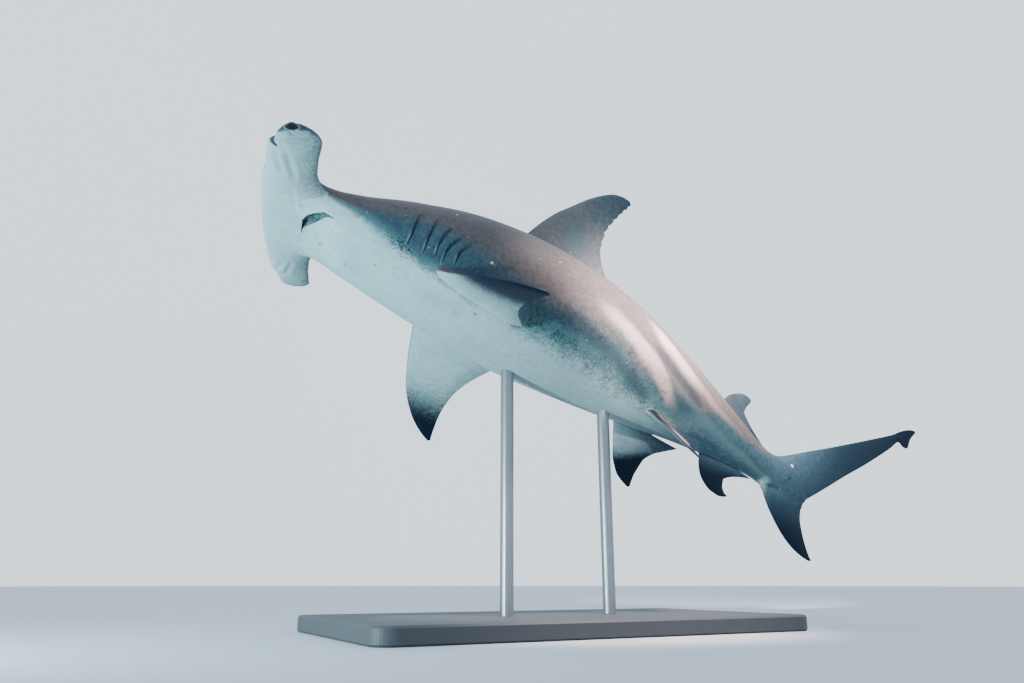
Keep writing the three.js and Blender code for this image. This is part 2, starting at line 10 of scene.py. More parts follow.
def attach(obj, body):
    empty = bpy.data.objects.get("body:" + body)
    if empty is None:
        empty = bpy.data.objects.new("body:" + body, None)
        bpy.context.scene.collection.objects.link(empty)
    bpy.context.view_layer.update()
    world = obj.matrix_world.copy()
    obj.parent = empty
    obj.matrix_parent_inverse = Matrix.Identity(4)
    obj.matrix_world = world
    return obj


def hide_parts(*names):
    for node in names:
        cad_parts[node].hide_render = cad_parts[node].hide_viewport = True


# A great hammerhead shark at life size on a display stand. The skin is modelled straight, joined
# and rounded at its seams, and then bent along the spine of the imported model.

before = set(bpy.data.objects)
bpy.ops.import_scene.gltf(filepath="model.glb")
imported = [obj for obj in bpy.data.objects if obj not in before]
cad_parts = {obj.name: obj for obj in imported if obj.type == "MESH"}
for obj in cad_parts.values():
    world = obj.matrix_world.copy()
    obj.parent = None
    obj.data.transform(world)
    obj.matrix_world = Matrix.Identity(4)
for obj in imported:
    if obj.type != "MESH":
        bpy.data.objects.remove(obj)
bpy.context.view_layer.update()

# Sizes. Body places are (back, left, up) in thousandths of the body length, as in the part.
UNIT = 0.0034
MM = 0.001
SPINE_HEIGHT = 1.080
NOSE_UP = 16.7
POSE_STATION = 300
SPINE_STEP = 5
SPINE_END = 960
STRAIGHT_BEHIND = 720
STAND_STATION = 330

BEND_STATIONS = [20, 120, 220, 340, 460, 580, 700]
SIDE_BEND = [0.52, 0.53, 0.55, 0.78, 0.49, 0.23, 0]
LIFT_BEND = [-0.07, -0.08, -0.21, -0.39, -0.21, -0.27, -0.22]
TWIST_BEND = [0.08, 0.03, 0.04, 0.07, 0.03, 0, 0]
# Sharper bends at the neck and the tail: from, to, then degrees of twist, lift and side
EXTRA_TURNS = [(75, 115, (-6.7, -1.5, 6.6)), (680, 720, (7.7, -3.3, -19.9))]

BODY_STATIONS = [26, 38, 55, 80, 100, 118, 150, 200, 250, 300, 360, 420, 480, 540, 600, 660, 700, 735]
BODY_WIDTH = [30, 43, 50, 50, 50, 53, 58, 66, 71, 73, 71, 63, 52.5, 40.5, 29, 19.5, 16, 11]
BODY_UP = [6, 12, 15.5, 20.2, 29.5, 39, 52, 66, 73, 75, 73, 66, 56, 45, 35, 24.5, 20, 15]
BODY_DOWN = [5, 10, 16, 27, 37, 43, 52, 62, 70, 73, 70, 64, 54, 43, 33, 23, 19, 13]
SQUARE_STATIONS = [26, 90, 120, 160]
BODY_ROUND = [0.78, 0.8, 0.9, 1]
BODY_SIDES = 144
# Ring spacing in thousandths up to each station: close at the mouth and the gills
RING_STEPS = [(44, 2.2), (96, 1.2), (142, 2.4), (212, 1.05), (735, 2.6)]

WING_OUT = [0, 10, 30, 45, 64, 85, 98, 101.5, 104.5, 109, 115, 120.5, 124.5, 126]
WING_LEAD = [14.6, 13.8, 14, 14.8, 16.4, 19, 21.2, 22.4, 26, 27.2, 29, 33, 38, 43]
WING_TRAIL_OUT = [0, 40, 50, 57, 66, 75, 92, 107, 116, 120.5, 124.5, 126]
WING_TRAIL = [84, 80, 73.5, 68, 64.6, 63, 63, 64.3, 64.6, 62.5, 57.5, 52]
WING_HALF_OUT = [0, 50, 85, 110, 119, 123.5, 126]
WING_HALF = [14, 12, 9.5, 8.8, 8.4, 6.6, 3.6]
WING_SPANS = 150
WING_CHORDS = 34
# The wing is a little thicker above its edge than below
WING_ABOVE, WING_BELOW = 1.05, 0.9
# Swells of the wing's edges: place to the left, width, and how far the edge moves to the rear
WING_LEAD_SWELLS = [(72, 20, 1.9), (21, 12, 0.9), (-36, 13, 0.8), (0, 10, -0.5)]
WING_TRAIL_SWELLS = [(-120, 7, 1.7)]

# Eyes, lids and nostrils: places in thousandths, as above, and radii in millimetres
EYE_RADIUS = 17
EYE = {"back": 40, "out": 121.8, "up": 1.6, "radii": (EYE_RADIUS, EYE_RADIUS, EYE_RADIUS)}
LID = {"back": 40, "out": 119.5, "up": 0, "radii": (26, 17, 22)}
NOSTRIL = {"back": 26.6, "out": 103.6, "up": -4.5, "radii": (15, 4.4, 17)}
SOCKET_WIDER = 0.3

# Lips as (back, left), from the middle of the mouth to its left corner
UPPER_LIP = [(58, 0), (56, 9), (56, 20.5), (59, 30), (64, 36.4), (70, 41), (76, 43.8), (84.5, 44.2)]
LOWER_LIP = [
    (59.2, 0), (58.4, 9.4), (62.4, 17.5), (67.4, 25.4), (71.8, 32), (76.2, 37.8), (80.2, 42),
    (84.3, 43.8),
]
# In thousandths: the lips swell where the mouth is open, and it is a groove where it is shut
LIP_SWELL, SHUT_GROOVE = 0.5, 0.55
MOUTH_ROOF = -12.4
MOUTH_BELOW = -45
ROOF_SHRINK = 0.9
ROOF_SLOPE = 2.2
# The mouth gapes on the left; from the first step to the second it shuts towards the right
SHUT_FROM, SHUT_TO = 1.1, 0.3
# The head's relief and cuts end at this station
HEAD_END = 100

# Furrows in the skin under the head: ends as (back, left), then half width and depth
FURROWS = [
    ((28.5, 97), (37, 68), 4.5, 1.3), ((38, 101), (47.5, 64), 4.5, 1.3), ((33, 112), (39, 100), 4, 0.9),
    ((44, 58), (49, 36), 4, 0.6), ((30, -95), (36, -76), 4.5, 1.0), ((40, -100), (47, -70), 4.5, 1.1),
    ((60, 3), (80, 7), 2.6, 0.5), ((60.5, -1), (82, -2), 2.6, 0.55), ((61, -6), (80, -11), 2.6, 0.5),
    ((62, -12), (78, -19), 2.6, 0.45),
]

# Where the stalk flows into the tail fin
TAIL_ROOT = {"back": 728, "up": -2, "reach": 34}

# Gill slits: top and bottom as (back, degrees above the flank) and the bow towards the head
GILLS = [
    ((150, 21), (147, -17.5), 0),
    ((166, 18.5), (163, -19.5), 2),
    ((181, 14), (174, -19), 3.6),
    ((192.5, 7.5), (182, -22), 3.8),
    ((201.5, 3), (193, -17.5), 3),
]
# How far a flap stands up and how deep its slit is, in millimetres
FLAP_RISE, SLIT_DEPTH = 4.5, 9

# Fins: leading edge (back, out), trailing edge (back, out) and half thickness in millimetres
FIRST_DORSAL = [
    (262, 52, 352, 52, 22), (268, 74, 360, 70, 19), (275, 88, 392, 79, 16), (286, 108, 381, 90, 14),
    (300, 130, 370, 105, 12.5), (316, 150, 364.5, 124, 11), (332, 170, 365, 143, 9.5),
    (347, 186, 370, 160, 8), (361, 198, 376.5, 176, 6), (374, 203.8, 383, 190, 4.5),
    (385, 205, 388.5, 201.5, 2),
]
SECOND_DORSAL = [
    (588, 24, 630, 18, 8), (594, 38, 638, 26, 7), (600, 48, 694, 24, 5.5), (607, 57, 672, 31, 5),
    (616, 64, 650, 40, 4.5), (626, 70, 638.5, 47, 4), (635, 72.8, 640.5, 57, 3),
    (642, 73.2, 645.5, 66, 2.2), (646.5, 72, 647.5, 70.5, 1.2),
]
ANAL = [
    (570, -22, 632, -18, 8), (576, -40, 642, -26, 7), (580, -54, 676, -25, 5.5),
    (587, -64, 655, -33, 5), (597, -70, 638, -41, 4.5), (609, -73, 627, -49, 4),
    (621, -73, 628, -59, 3), (631, -70.5, 634, -64.5, 2.2), (638.5, -67, 639.3, -65.5, 1.2),
]
UPPER_LOBE = [
    (694, 17, 704, -18, 44), (706, 24, 728, -22, 36), (722, 34, 752, -22, 29), (740, 47, 764, -10, 23),
    (764, 65, 780, 8, 18), (790, 84, 798, 29, 14.5), (815, 103, 820, 55, 12), (840, 122, 845, 83, 10),
    (862, 139, 867, 109, 8.5), (882, 154.5, 889, 136, 7), (896, 166, 905.5, 157, 6),
    (904, 174, 913, 153, 5.2), (915, 183.5, 920.5, 155, 4.4), (926, 190.5, 926, 174, 3.2),
    (935, 193, 934, 189, 1.6),
]
LOWER_LOBE = [
    (688, -6, 752, 12, 20), (695, -24, 757.5, -18, 16), (703, -37, 757, -31, 12),
    (713, -51.5, 758, -44, 10), (724, -65, 762, -57, 8), (737, -77, 767, -69, 6.5),
    (751, -85.5, 772, -78.5, 5), (765, -90, 776.5, -85.5, 3.4), (776, -91, 779.5, -89, 1.6),
]
PECTORAL = [
    (-4, -26, 54, -26, 19), (-1, -10, 60, -8, 17), (2, 2, 66, 4, 15.5), (5, 12, 107, 14, 13.5),
    (10, 28, 100, 30, 12.5), (16, 46, 93, 46, 11.5), (24, 66, 88, 65, 10), (34, 87, 87, 85, 8.6),
    (47, 105, 89, 103, 7), (63, 121, 92.5, 118, 5.4), (80, 132, 96, 130, 3.6),
    (94, 138, 98.5, 136.5, 1.8),
]
PELVIC = [
    (-4, -16, 44, -26, 9), (0, -4, 48, -13, 8.5), (4, 4, 56, -12, 8), (10, 13, 102, -15, 6.5),
    (17, 23, 86, -3, 6), (25, 34, 73, 8, 5.2), (34, 42, 66, 22, 4.5), (44, 49, 66, 36, 3.6),
    (56, 53, 68, 47, 2.6), (67, 55.5, 70, 53.5, 1.4),
]
PAIRED_FINS = {
    "pectoral_left": dict(
        rows=PECTORAL, side=1, root=(179.8, 51.7, -33.2), droop=23.6, curl=-13.6, sweep=-0.19,
        pitch=11.6, washout=-5.7, size=0.92,
    ),
    "pectoral_right": dict(
        rows=PECTORAL, side=-1, root=(196.2, 57.9, -33.4), droop=32.7, curl=2, sweep=0.006,
        pitch=6.2, washout=0, size=1.036,
    ),
    "pelvic_left": dict(
        rows=PELVIC, side=1, root=(456.5, 29.9, -51.6), droop=40.7, curl=0, sweep=0.178,
        pitch=6.1, washout=0, size=0.928,
    ),
    "pelvic_right": dict(
        rows=PELVIC, side=-1, root=(463.6, 31.6, -50.8), droop=62.9, curl=0, sweep=0.004,
        pitch=0.6, washout=0, size=0.993,
    ),
}
PITCH_PIVOT = 33


# Tables and small curves
def smooth_table(xs, ys):
    """A curve through the listed values that never swings past them."""
    xs, ys = np.array(xs, float), np.array(ys, float)
    rise = np.diff(ys) / np.diff(xs)
    slope = np.zeros(len(xs))
    slope[0], slope[-1] = rise[0], rise[-1]
    for i in range(1, len(xs) - 1):
        if rise[i - 1] * rise[i] > 0:
            mean = (ys[i + 1] - ys[i - 1]) / (xs[i + 1] - xs[i - 1])
            limit = 3 * min(abs(rise[i - 1]), abs(rise[i]))
            slope[i] = math.copysign(min(abs(mean), limit), mean)

    def value(at):
        x = np.clip(np.asarray(at, float), xs[0], xs[-1])
        i = np.clip(np.searchsorted(xs, x, side="right") - 1, 0, len(xs) - 2)
        width = xs[i + 1] - xs[i]
        t = (x - xs[i]) / width
        start = (1 + 2 * t) * (1 - t) ** 2 * ys[i] + t * (1 - t) ** 2 * width * slope[i]
        return start + t * t * (3 - 2 * t) * ys[i + 1] + t * t * (t - 1) * width * slope[i + 1]

    return value


def ease(low, high, x):
    """0 up to low, rising smoothly to 1 at high."""
    t = np.clip((np.asarray(x, float) - low) / (high - low), 0, 1)
    return t * t * (3 - 2 * t)


def fall(low, high, x):
    """1 up to low, falling smoothly to 0 at high."""
    return 1 - ease(low, high, x)


def bump(x, width):
    """1 at 0, falling smoothly to 0 at a width to either side."""
    return fall(0, 1, np.abs(x) / width)


body_width = smooth_table(BODY_STATIONS, BODY_WIDTH)
body_up = smooth_table(BODY_STATIONS, BODY_UP)
body_down = smooth_table(BODY_STATIONS, BODY_DOWN)
body_round = smooth_table(SQUARE_STATIONS, BODY_ROUND)
wing_lead = smooth_table(WING_OUT, WING_LEAD)
wing_trail = smooth_table(WING_TRAIL_OUT, WING_TRAIL)
wing_half = smooth_table(WING_HALF_OUT, WING_HALF)


# Spine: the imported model's own frames
def turned(vector):
    angle = np.linalg.norm(vector)
    if angle < 1e-12:
        return np.eye(3)
    x, y, z = vector / angle
    cross = np.array([[0, -z, y], [z, 0, -x], [-y, x, 0]])
    return np.eye(3) + math.sin(angle) * cross + (1 - math.cos(angle)) * cross @ cross


def bend_at(station):
    bend = np.zeros(3)
    if station < STRAIGHT_BEHIND:
        bend = np.array([np.interp(station, BEND_STATIONS, t) for t in (TWIST_BEND, LIFT_BEND, SIDE_BEND)])
    for start, end, turn in EXTRA_TURNS:
        if start <= station <= end:
            bend = bend + np.radians(turn) * 1000 / (end - start)
    return bend


def spine_frames():
    count = SPINE_END // SPINE_STEP + 1
    middle = POSE_STATION // SPINE_STEP
    places, turns = np.zeros((count, 3)), np.zeros((count, 3, 3))
    rise = math.radians(NOSE_UP)
    c, s = math.cos(rise), math.sin(rise)
    turns[middle] = np.array([(-c, 0, s), (0, -1, 0), (s, 0, c)]).T
    places[middle] = (0, 0, SPINE_HEIGHT)
    for end in (count - 1, 0):
        way = 1 if end > middle else -1
        for i in range(middle, end, way):
            bend = bend_at((i + way / 2) * SPINE_STEP)
            turns[i + way] = turns[i] @ turned(bend * way * SPINE_STEP / 1000)
            mean = (turns[i][:, 0] + turns[i + way][:, 0]) / 2
            places[i + way] = places[i] - mean * way * SPINE_STEP * UNIT
    return places, turns


SPINE_PLACES, SPINE_TURNS = spine_frames()


def posed(points):
    """Straight places in metres (forward, left, up) brought onto the bent spine."""
    points = np.asarray(points, float)
    back = -points[:, 0] / UNIT
    station = np.clip(back, 0, SPINE_END)
    at = station / SPINE_STEP
    i = np.minimum(at.astype(int), len(SPINE_PLACES) - 2)
    t = (at - i)[:, None]
    places = SPINE_PLACES[i] * (1 - t) + SPINE_PLACES[i + 1] * t
    turns = SPINE_TURNS[i] * (1 - t[..., None]) + SPINE_TURNS[i + 1] * t[..., None]
    offset = np.stack([(station - back) * UNIT, points[:, 1], points[:, 2]], 1)
    return places + np.einsum("nij,nj->ni", turns, offset)


STAND_CENTRE = posed(np.array([(-STAND_STATION * UNIT, 0, 0)]))[0] * (1, 1, 0)


def in_part(points):
    return posed(points) - STAND_CENTRE


def straight(back, left, up):
    """Body places in thousandths as straight places in metres."""
    back, left, up = np.broadcast_arrays(back, left, up)
    return np.stack([-back, left, up], -1) * UNIT


def body_places(points):
    """Straight places in metres as back, left and up in thousandths."""
    return -points[:, 0] / UNIT, points[:, 1] / UNIT, points[:, 2] / UNIT


# Meshes
def linked(name, data):
    obj = bpy.data.objects.new(name, data)
    bpy.context.scene.collection.objects.link(obj)
    return obj


def new_object(name, points, faces):
    mesh = bpy.data.meshes.new(name)
    mesh.from_pydata(np.asarray(points).tolist(), [], faces)
    mesh.validate()
    return linked(name, mesh)


def shade_smooth(mesh):
    mesh.polygons.foreach_set("use_smooth", [True] * len(mesh.polygons))


def add_mark(mesh, name, values):
    mesh.attributes.new(name, "FLOAT", "POINT").data.foreach_set("value", np.asarray(values, np.float32))


def add_vector_mark(mesh, name, vectors):
    layer = mesh.attributes.new(name, "FLOAT_VECTOR", "POINT")
    layer.data.foreach_set("vector", np.asarray(vectors, np.float32).ravel())


def kd_tree(points):
    tree = KDTree(len(points))
    for i, point in enumerate(points):
        tree.insert(point, i)
    tree.balance()
    return tree


def loft(rings):
    """Points and faces of a closed skin through rings; point k of a ring faces point n - k."""
    rings = np.asarray(rings, float)
    count, n, _ = rings.shape
    points = rings.reshape(-1, 3)
    i, k = np.meshgrid(np.arange(count - 1), np.arange(n), indexing="ij")
    a, b = i * n + k, i * n + (k + 1) % n
    faces = np.stack([a, b, b + n, a + n], -1).reshape(-1, 4).tolist()
    for start, flip in ((0, True), ((count - 1) * n, False)):
        for k in range(n // 2):
            corners = [start + k, start + k + 1, start + (n - k - 1) % n, start + (n - k) % n]
            face = list(dict.fromkeys(corners))
            if len(face) > 2:
                faces.append(face[::-1] if flip else face)
    volume = sum(np.dot(points[f[0]], np.cross(points[f[1]], points[f[2]])) for f in faces)
    if volume < 0:
        faces = [face[::-1] for face in faces]
    return points, faces


def ball(centre, radii, columns=48, rows=32):
    """An oval of the given radii, with a pole at its top and one at its bottom."""
    around = np.linspace(0, 2 * np.pi, columns, endpoint=False)
    points, faces = [np.array([0, 0, -1.0])], []
    for row in range(1, rows):
        high = -math.cos(math.pi * row / rows)
        reach = math.sin(math.pi * row / rows)
        points.extend(np.stack([np.cos(around) * reach, np.sin(around) * reach, np.full(columns, high)], 1))
    points.append(np.array([0, 0, 1.0]))
    top = len(points) - 1
    for k in range(columns):
        after = (k + 1) % columns
        faces.append([0, 1 + after, 1 + k])
        faces.append([top, top - columns + k, top - columns + after])
        for row in range(rows - 2):
            a = 1 + row * columns
            faces.append([a + k, a + after, a + columns + after, a + columns + k])
    return np.array(points) * radii + centre, faces


def oval(shape, side, wider=0, columns=48, rows=32):
    """An eye, a lid or a nostril on the left (1) or the right (-1)."""
    centre = straight(shape["back"], side * shape["out"], shape["up"])
    return ball(centre, (np.array(shape["radii"]) + wider) * MM, columns, rows)


def squared(x, power):
    return np.sign(x) * np.abs(x) ** power


def slit_line(gill, t):
    """Stations of a gill slit, from its top (0) to its bottom (1)."""
    (top, _), (bottom, _), bow = gill
    return bottom + (top - bottom) * (1 - t) ** 2.2 - bow * 2 * t * (1 - t)


def gill_relief(station, degrees):
    """How far a skin point moves to the rear and outwards, in millimetres, how deep in a slit it is
    and whether it is on the pale lower rim of a flap."""
    along, lift, deep, rim = (np.zeros_like(station) for _ in range(4))
    for gill in GILLS:
        top_angle, bottom_angle = gill[0][1], gill[1][1]
        t = (top_angle - degrees) / (top_angle - bottom_angle)
        fade = np.sqrt(np.sin(np.pi * np.clip(t * 0.94 + 0.03, 0, 1))) * (t > -0.03) * (t < 1.03)
        gap = (station - slit_line(gill, np.clip(t, 0, 1))) * UNIT / MM
        flap = ease(-34, -2, gap) * (gap < 0)
        groove = ease(-0.5, 1.5, gap) * fall(2.5, 6, gap)
        wall = (FLAP_RISE - (FLAP_RISE + SLIT_DEPTH) * ease(0, 3, gap)) * (gap >= 0) * (gap < 3)
        lift += fade * (FLAP_RISE * flap + wall)
        lift += fade * np.where(gap >= 3, -SLIT_DEPTH * fall(3, 9, gap), 0)
        along += fade * FLAP_RISE * ease(-14, 0, gap) * fall(0, 3, gap)
        deep = np.maximum(deep, fade * groove)
        rim = np.maximum(rim, fade * bump(gap + 1.5, 4) * ease(0.6, 0.85, t))
    return along, lift, deep, rim


# A furrow along the rear flank, as angles above the flank at stations, and how many degrees from
# it the muscles below and above it swell
FURROW_STATIONS = [320, 370, 400, 450, 485, 540]
FURROW_ANGLES = [30, 21, 14, 0, -9, -18]
MUSCLE_BELOW, MUSCLE_ABOVE = -18, 16

furrow_angle = smooth_table(FURROW_STATIONS, FURROW_ANGLES)


def muscle_relief(station, degrees):
    """How far the flank swells (above 0) or sinks, in millimetres."""
    off = degrees - furrow_angle(station)
    below = ease(330, 440, station) * fall(480, 515, station)
    above = ease(400, 460, station) * fall(520, 600, station)
    groove = ease(310, 450, station) * fall(500, 560, station)
    lift = 9 * below * bump(off - MUSCLE_BELOW, 20) + 6 * above * bump(off - MUSCLE_ABOVE, 18)
    return lift - 9 * groove * bump(off, 17)


def body_rings():
    stations, at = [], BODY_STATIONS[0]
    for end, step in RING_STEPS:
        count = max(1, round((end - at) / step))
        stations.extend(at + (end - at) * np.arange(count) / count)
        at = end
    stations = np.append(stations, at)
    around = 2 * np.pi * np.arange(BODY_SIDES) / BODY_SIDES
    station, angle = np.meshgrid(stations, around, indexing="ij")
    degrees = np.degrees(np.arcsin(np.sin(angle)))
    along, lift, deep, rim = gill_relief(station, degrees)
    lift = lift + muscle_relief(station, degrees)
    station = station + along * MM / UNIT
    power = body_round(station)
    across, high = squared(np.cos(angle), power), squared(np.sin(angle), power)
    tall = np.where(high > 0, body_up(station), body_down(station))
    points = straight(station, body_width(station) * across, tall * high)
    points[..., 1] += lift * MM * across
    points[..., 2] += lift * MM * high
    return points, deep, rim


def blade_shape(share, roundness):
    peak = 0.38
    past = np.clip((share - peak) / (1 - peak), 0, 1)
    front = np.sqrt(np.maximum(0, 1 - (1 - np.minimum(share, peak) / peak) ** 2))
    rear = (1 - past**1.7) * (1 - roundness) + roundness * np.sqrt(np.maximum(0, 1 - past**6))
    return np.where(share < peak, front, rear)


def chord_shares(chords):
    k = np.arange(2 * chords)
    return (1 - np.cos(np.pi * k / chords)) / 2, np.where(k < chords, 1, -1), k % chords == 0


def swollen(edge, out, swells):
    for middle, width, swell in swells:
        edge = edge + swell * bump(out - middle, width)
    return edge


def wing_rings():
    out = WING_OUT[-1] * np.sin(np.pi / 2 * np.linspace(-1, 1, WING_SPANS + 1))
    share, face, edge = chord_shares(WING_CHORDS)
    out, share = np.meshgrid(out, share, indexing="ij")
    span = np.abs(out)
    waves = 0.45 * np.sin(out * 0.29 + 1) + 0.35 * np.sin(out * 0.61)
    lead = swollen(wing_lead(span) + waves * fall(90, 104, span), out, WING_LEAD_SWELLS)
    trail = swollen(wing_trail(span), out, WING_TRAIL_SWELLS)
    tall = np.where(face > 0, WING_ABOVE, -WING_BELOW) * wing_half(span) * blade_shape(share, 0.42)
    return straight(lead + (trail - lead) * share, out, np.where(edge, 0, tall))


def mid_place(back, out, off):
    points = straight(back, 0, out)
    points[..., 1] += off * MM
    return points


def paired_place(fin):
    def place(back, out, off):
        along = back * fin["size"] - PITCH_PIVOT
        reach = out * fin["size"]
        lean = np.radians(fin["pitch"] + fin["washout"] * reach / 100)
        angle = np.radians(fin["droop"] + fin["curl"] * reach / 200)
        across, down = np.cos(angle), np.sin(angle)
        drop = -along * np.sin(lean)
        root = fin["root"]
        points = straight(
            root[0] + PITCH_PIVOT + along * np.cos(lean) + fin["sweep"] * np.maximum(reach, 0),
            fin["side"] * (root[1] + reach * across + drop * down),
            root[2] - reach * down + drop * across,
        )
        points[..., 1] += fin["side"] * off * down * MM
        points[..., 2] += off * across * MM
        return points

    return place


def fin_rings(rows, place, rows_between=8, chords=24, ragged=None):
    rows = np.array(rows, float)
    columns = [smooth_table(np.arange(len(rows)), rows[:, c]) for c in range(5)]
    at = np.linspace(0, len(rows) - 1, (len(rows) - 1) * rows_between + 1)
    lead_back, lead_out, trail_back, trail_out, half = (column(at)[:, None] for column in columns)
    share, face, edge = chord_shares(chords)
    reach = at[:, None] / (len(rows) - 1)
    if ragged is not None:
        shift = ragged(reach)
        trail_back, trail_out = trail_back + shift, trail_out + shift * 0.3
    off = np.where(edge, 0, face * half * blade_shape(share[None, :], 0.12))
    back = lead_back + (trail_back - lead_back) * share
    points = place(back, lead_out + (trail_out - lead_out) * share, off)
    marks = np.stack(np.broadcast_arrays(share[None, :], reach, face[None, :]), -1)
    return points, marks


def ragged_edge(reach):
    """Notches of the torn rear edge, in thousandths."""
    notch = np.sin(reach * 91) + np.sin(reach * 173 + 1.3) * 0.7 + np.sin(reach * 311 + 0.4) * 0.5
    return notch * 0.8 * ease(0.35, 0.6, reach)


FIN_PLANS = {
    "first_dorsal": (FIRST_DORSAL, mid_place, ragged_edge),
    "second_dorsal": (SECOND_DORSAL, mid_place, None),
    "anal": (ANAL, mid_place, None),
    "upper_lobe": (UPPER_LOBE, mid_place, None),
    "lower_lobe": (LOWER_LOBE, mid_place, None),
}
for fin_name, fin in PAIRED_FINS.items():
    FIN_PLANS[fin_name] = (fin["rows"], paired_place(fin), None)

SIDES = (("left", 1), ("right", -1))


def unmarked(points, faces):
    return points, faces, np.zeros((len(points), 3))


# The straight parts of the skin, each as points, faces and the marks that its colours need:
# share along the chord, reach along the fin and upper (1) or lower (-1) face
body_points, body_deep, body_rim = body_rings()
parts = {"body": unmarked(*loft(body_points)), "wing": unmarked(*loft(wing_rings()))}
for side_name, side in SIDES:
    parts[f"lid_{side_name}"] = unmarked(*oval(LID, side))
for fin_name, (rows, place, ragged) in FIN_PLANS.items():
    rings, marks = fin_rings(rows, place, ragged=ragged)
    parts[fin_name] = (*loft(rings), marks.reshape(-1, 3))


def combined(target, others, operation):
    """A new mesh of the target joined with or cut by the others."""
    for other in others:
        step = target.modifiers.new("step", "BOOLEAN")
        step.operation, step.solver, step.object = operation, "MANIFOLD", other
    depsgraph = bpy.context.evaluated_depsgraph_get()
    mesh = bpy.data.meshes.new_from_object(target.evaluated_get(depsgraph))
    for obj in [target, *others]:
        bpy.data.objects.remove(obj)
    return mesh


def positions(mesh):
    points = np.zeros(len(mesh.vertices) * 3)
    mesh.vertices.foreach_get("co", points)
    return points.reshape(-1, 3)


def set_positions(mesh, points):
    mesh.vertices.foreach_set("co", np.asarray(points, np.float32).ravel())
    mesh.update()


solids = {name: new_object(name, points, faces) for name, (points, faces, _) in parts.items()}
trees = {name: BVHTree.FromPolygons(points.tolist(), faces) for name, (points, faces, _) in parts.items()}
skin_mesh = combined(solids["body"], [solids[name] for name in parts if name != "body"], "UNION")


# Rounded seams: near a seam the skin moves out to a smooth blend of both surfaces
ON_BOTH = 0.05 * MM
LEAST_BLEND = 0.5 * MM


def nearest(tree, point):
    place, normal, _, gap = tree.find_nearest(Vector(point))
    away = np.array(point) - np.array(place)
    return gap, (away / gap if gap > 1e-6 else np.array(normal))


def round_seam(points, first, second, size, near=0.8, far_out=1.6):
    """Round the seam of two parts by a size in metres; the blend fades from near to far_out sizes
    away from it. Gives the points that lie on the seam."""
    low = parts[second][0].min(0) - size * 1.5
    high = parts[second][0].max(0) + size * 1.5
    chosen = np.nonzero(((points > low) & (points < high)).all(1))[0]
    gaps = []
    for i in chosen:
        both = [trees[name].find_nearest(Vector(points[i]), size * 1.7)[3] for name in (first, second)]
        gaps.append([1 if gap is None else gap for gap in both])
    gaps = np.array(gaps)
    seam = chosen[gaps.max(1) < ON_BOTH]
    if len(seam) == 0:
        return np.zeros(0, int)
    tree = kd_tree(points[seam])
    moved = chosen[gaps.max(1) < size * 1.6]
    reach = np.array([tree.find(points[i])[2] for i in moved])
    sizes = size * fall(size * near, size * far_out, reach)
    for i, blend in zip(moved, sizes):
        if blend < LEAST_BLEND:
            continue
        point = points[i].copy()
        for _ in range(4):
            gap_a, out_a = nearest(trees[first], point)
            gap_b, out_b = nearest(trees[second], point)
            h = min(1, max(0, 0.5 + 0.5 * (gap_b - gap_a) / blend))
            level = gap_b * (1 - h) + gap_a * h - blend * h * (1 - h)
            slope = out_b * (1 - h) + out_a * h
            point = point - slope * level / max(0.15, slope @ slope)
        points[i] = point
    return seam


# Sizes of the rounding in millimetres
WING_SEAM, LID_SEAM, LOBE_SEAM = 36, 12, 36
SEAM_SIZES = {
    "first_dorsal": 45, "second_dorsal": 18, "anal": 18, "upper_lobe": 40,
    "lower_lobe": 40, "pectoral_left": 40, "pectoral_right": 40, "pelvic_left": 26, "pelvic_right": 26,
}
# Evening out: how far it reaches from the seams, in millimetres, then its strength and its rounds
SEAMS_REACH, WING_REACH = 22, 60
EVEN_SEAMS, EVEN_WING, EVEN_TAIL = (0.6, 6), (0.7, 30), (0.8, 40)

skin_points = positions(skin_mesh)
rough_points = skin_points.copy()
wing_seam = round_seam(skin_points, "body", "wing", WING_SEAM * MM, 2, 4)
seams = [wing_seam]
seams += [round_seam(skin_points, "body", name, size * MM) for name, size in SEAM_SIZES.items()]
seams += [round_seam(skin_points, "wing", f"lid_{side_name}", LID_SEAM * MM) for side_name, _ in SIDES]
seams += [round_seam(skin_points, "upper_lobe", "lower_lobe", LOBE_SEAM * MM)]


def smoothed(points, near, strength, rounds):
    """The points evened out over the skin's edges, most where near is 1."""
    edges = np.zeros(len(skin_mesh.edges) * 2, int)
    skin_mesh.edges.foreach_get("vertices", edges)
    a, b = edges.reshape(-1, 2).T
    degree = np.bincount(np.concatenate([a, b]), minlength=len(points)).astype(float)[:, None]
    weight = (near * strength)[:, None]
    for _ in range(rounds):
        total = np.zeros_like(points)
        np.add.at(total, a, points[b])
        np.add.at(total, b, points[a])
        points = points + weight * (total / np.maximum(degree, 1) - points)
    return points


def closeness(places, reach):
    """1 for skin points on the places, falling to 0 at a reach in millimetres from them."""
    tree = kd_tree(places)
    return fall(0, reach * MM, np.array([tree.find(point)[2] for point in rough_points]))


near_seam = closeness(rough_points[np.unique(np.concatenate(seams))], SEAMS_REACH)
near_wing = closeness(rough_points[wing_seam], WING_REACH)
skin_points = smoothed(skin_points, near_seam, *EVEN_SEAMS)
skin_points = smoothed(skin_points, near_wing, *EVEN_WING)
from_tail = np.linalg.norm(skin_points - straight(TAIL_ROOT["back"], 0, TAIL_ROOT["up"]), axis=1)
near_tail = fall(0.3, 1, from_tail / (TAIL_ROOT["reach"] * UNIT))
skin_points = smoothed(skin_points, near_tail, *EVEN_TAIL)


def lip_line(points):
    steps = np.arange(len(points))
    back = smooth_table(steps, [p[0] for p in points])
    out = smooth_table(steps, [p[1] for p in points])
    return lambda step: (back(np.abs(step)), np.sign(step) * out(np.abs(step)))


upper_lip, lower_lip = lip_line(UPPER_LIP), lip_line(LOWER_LIP)


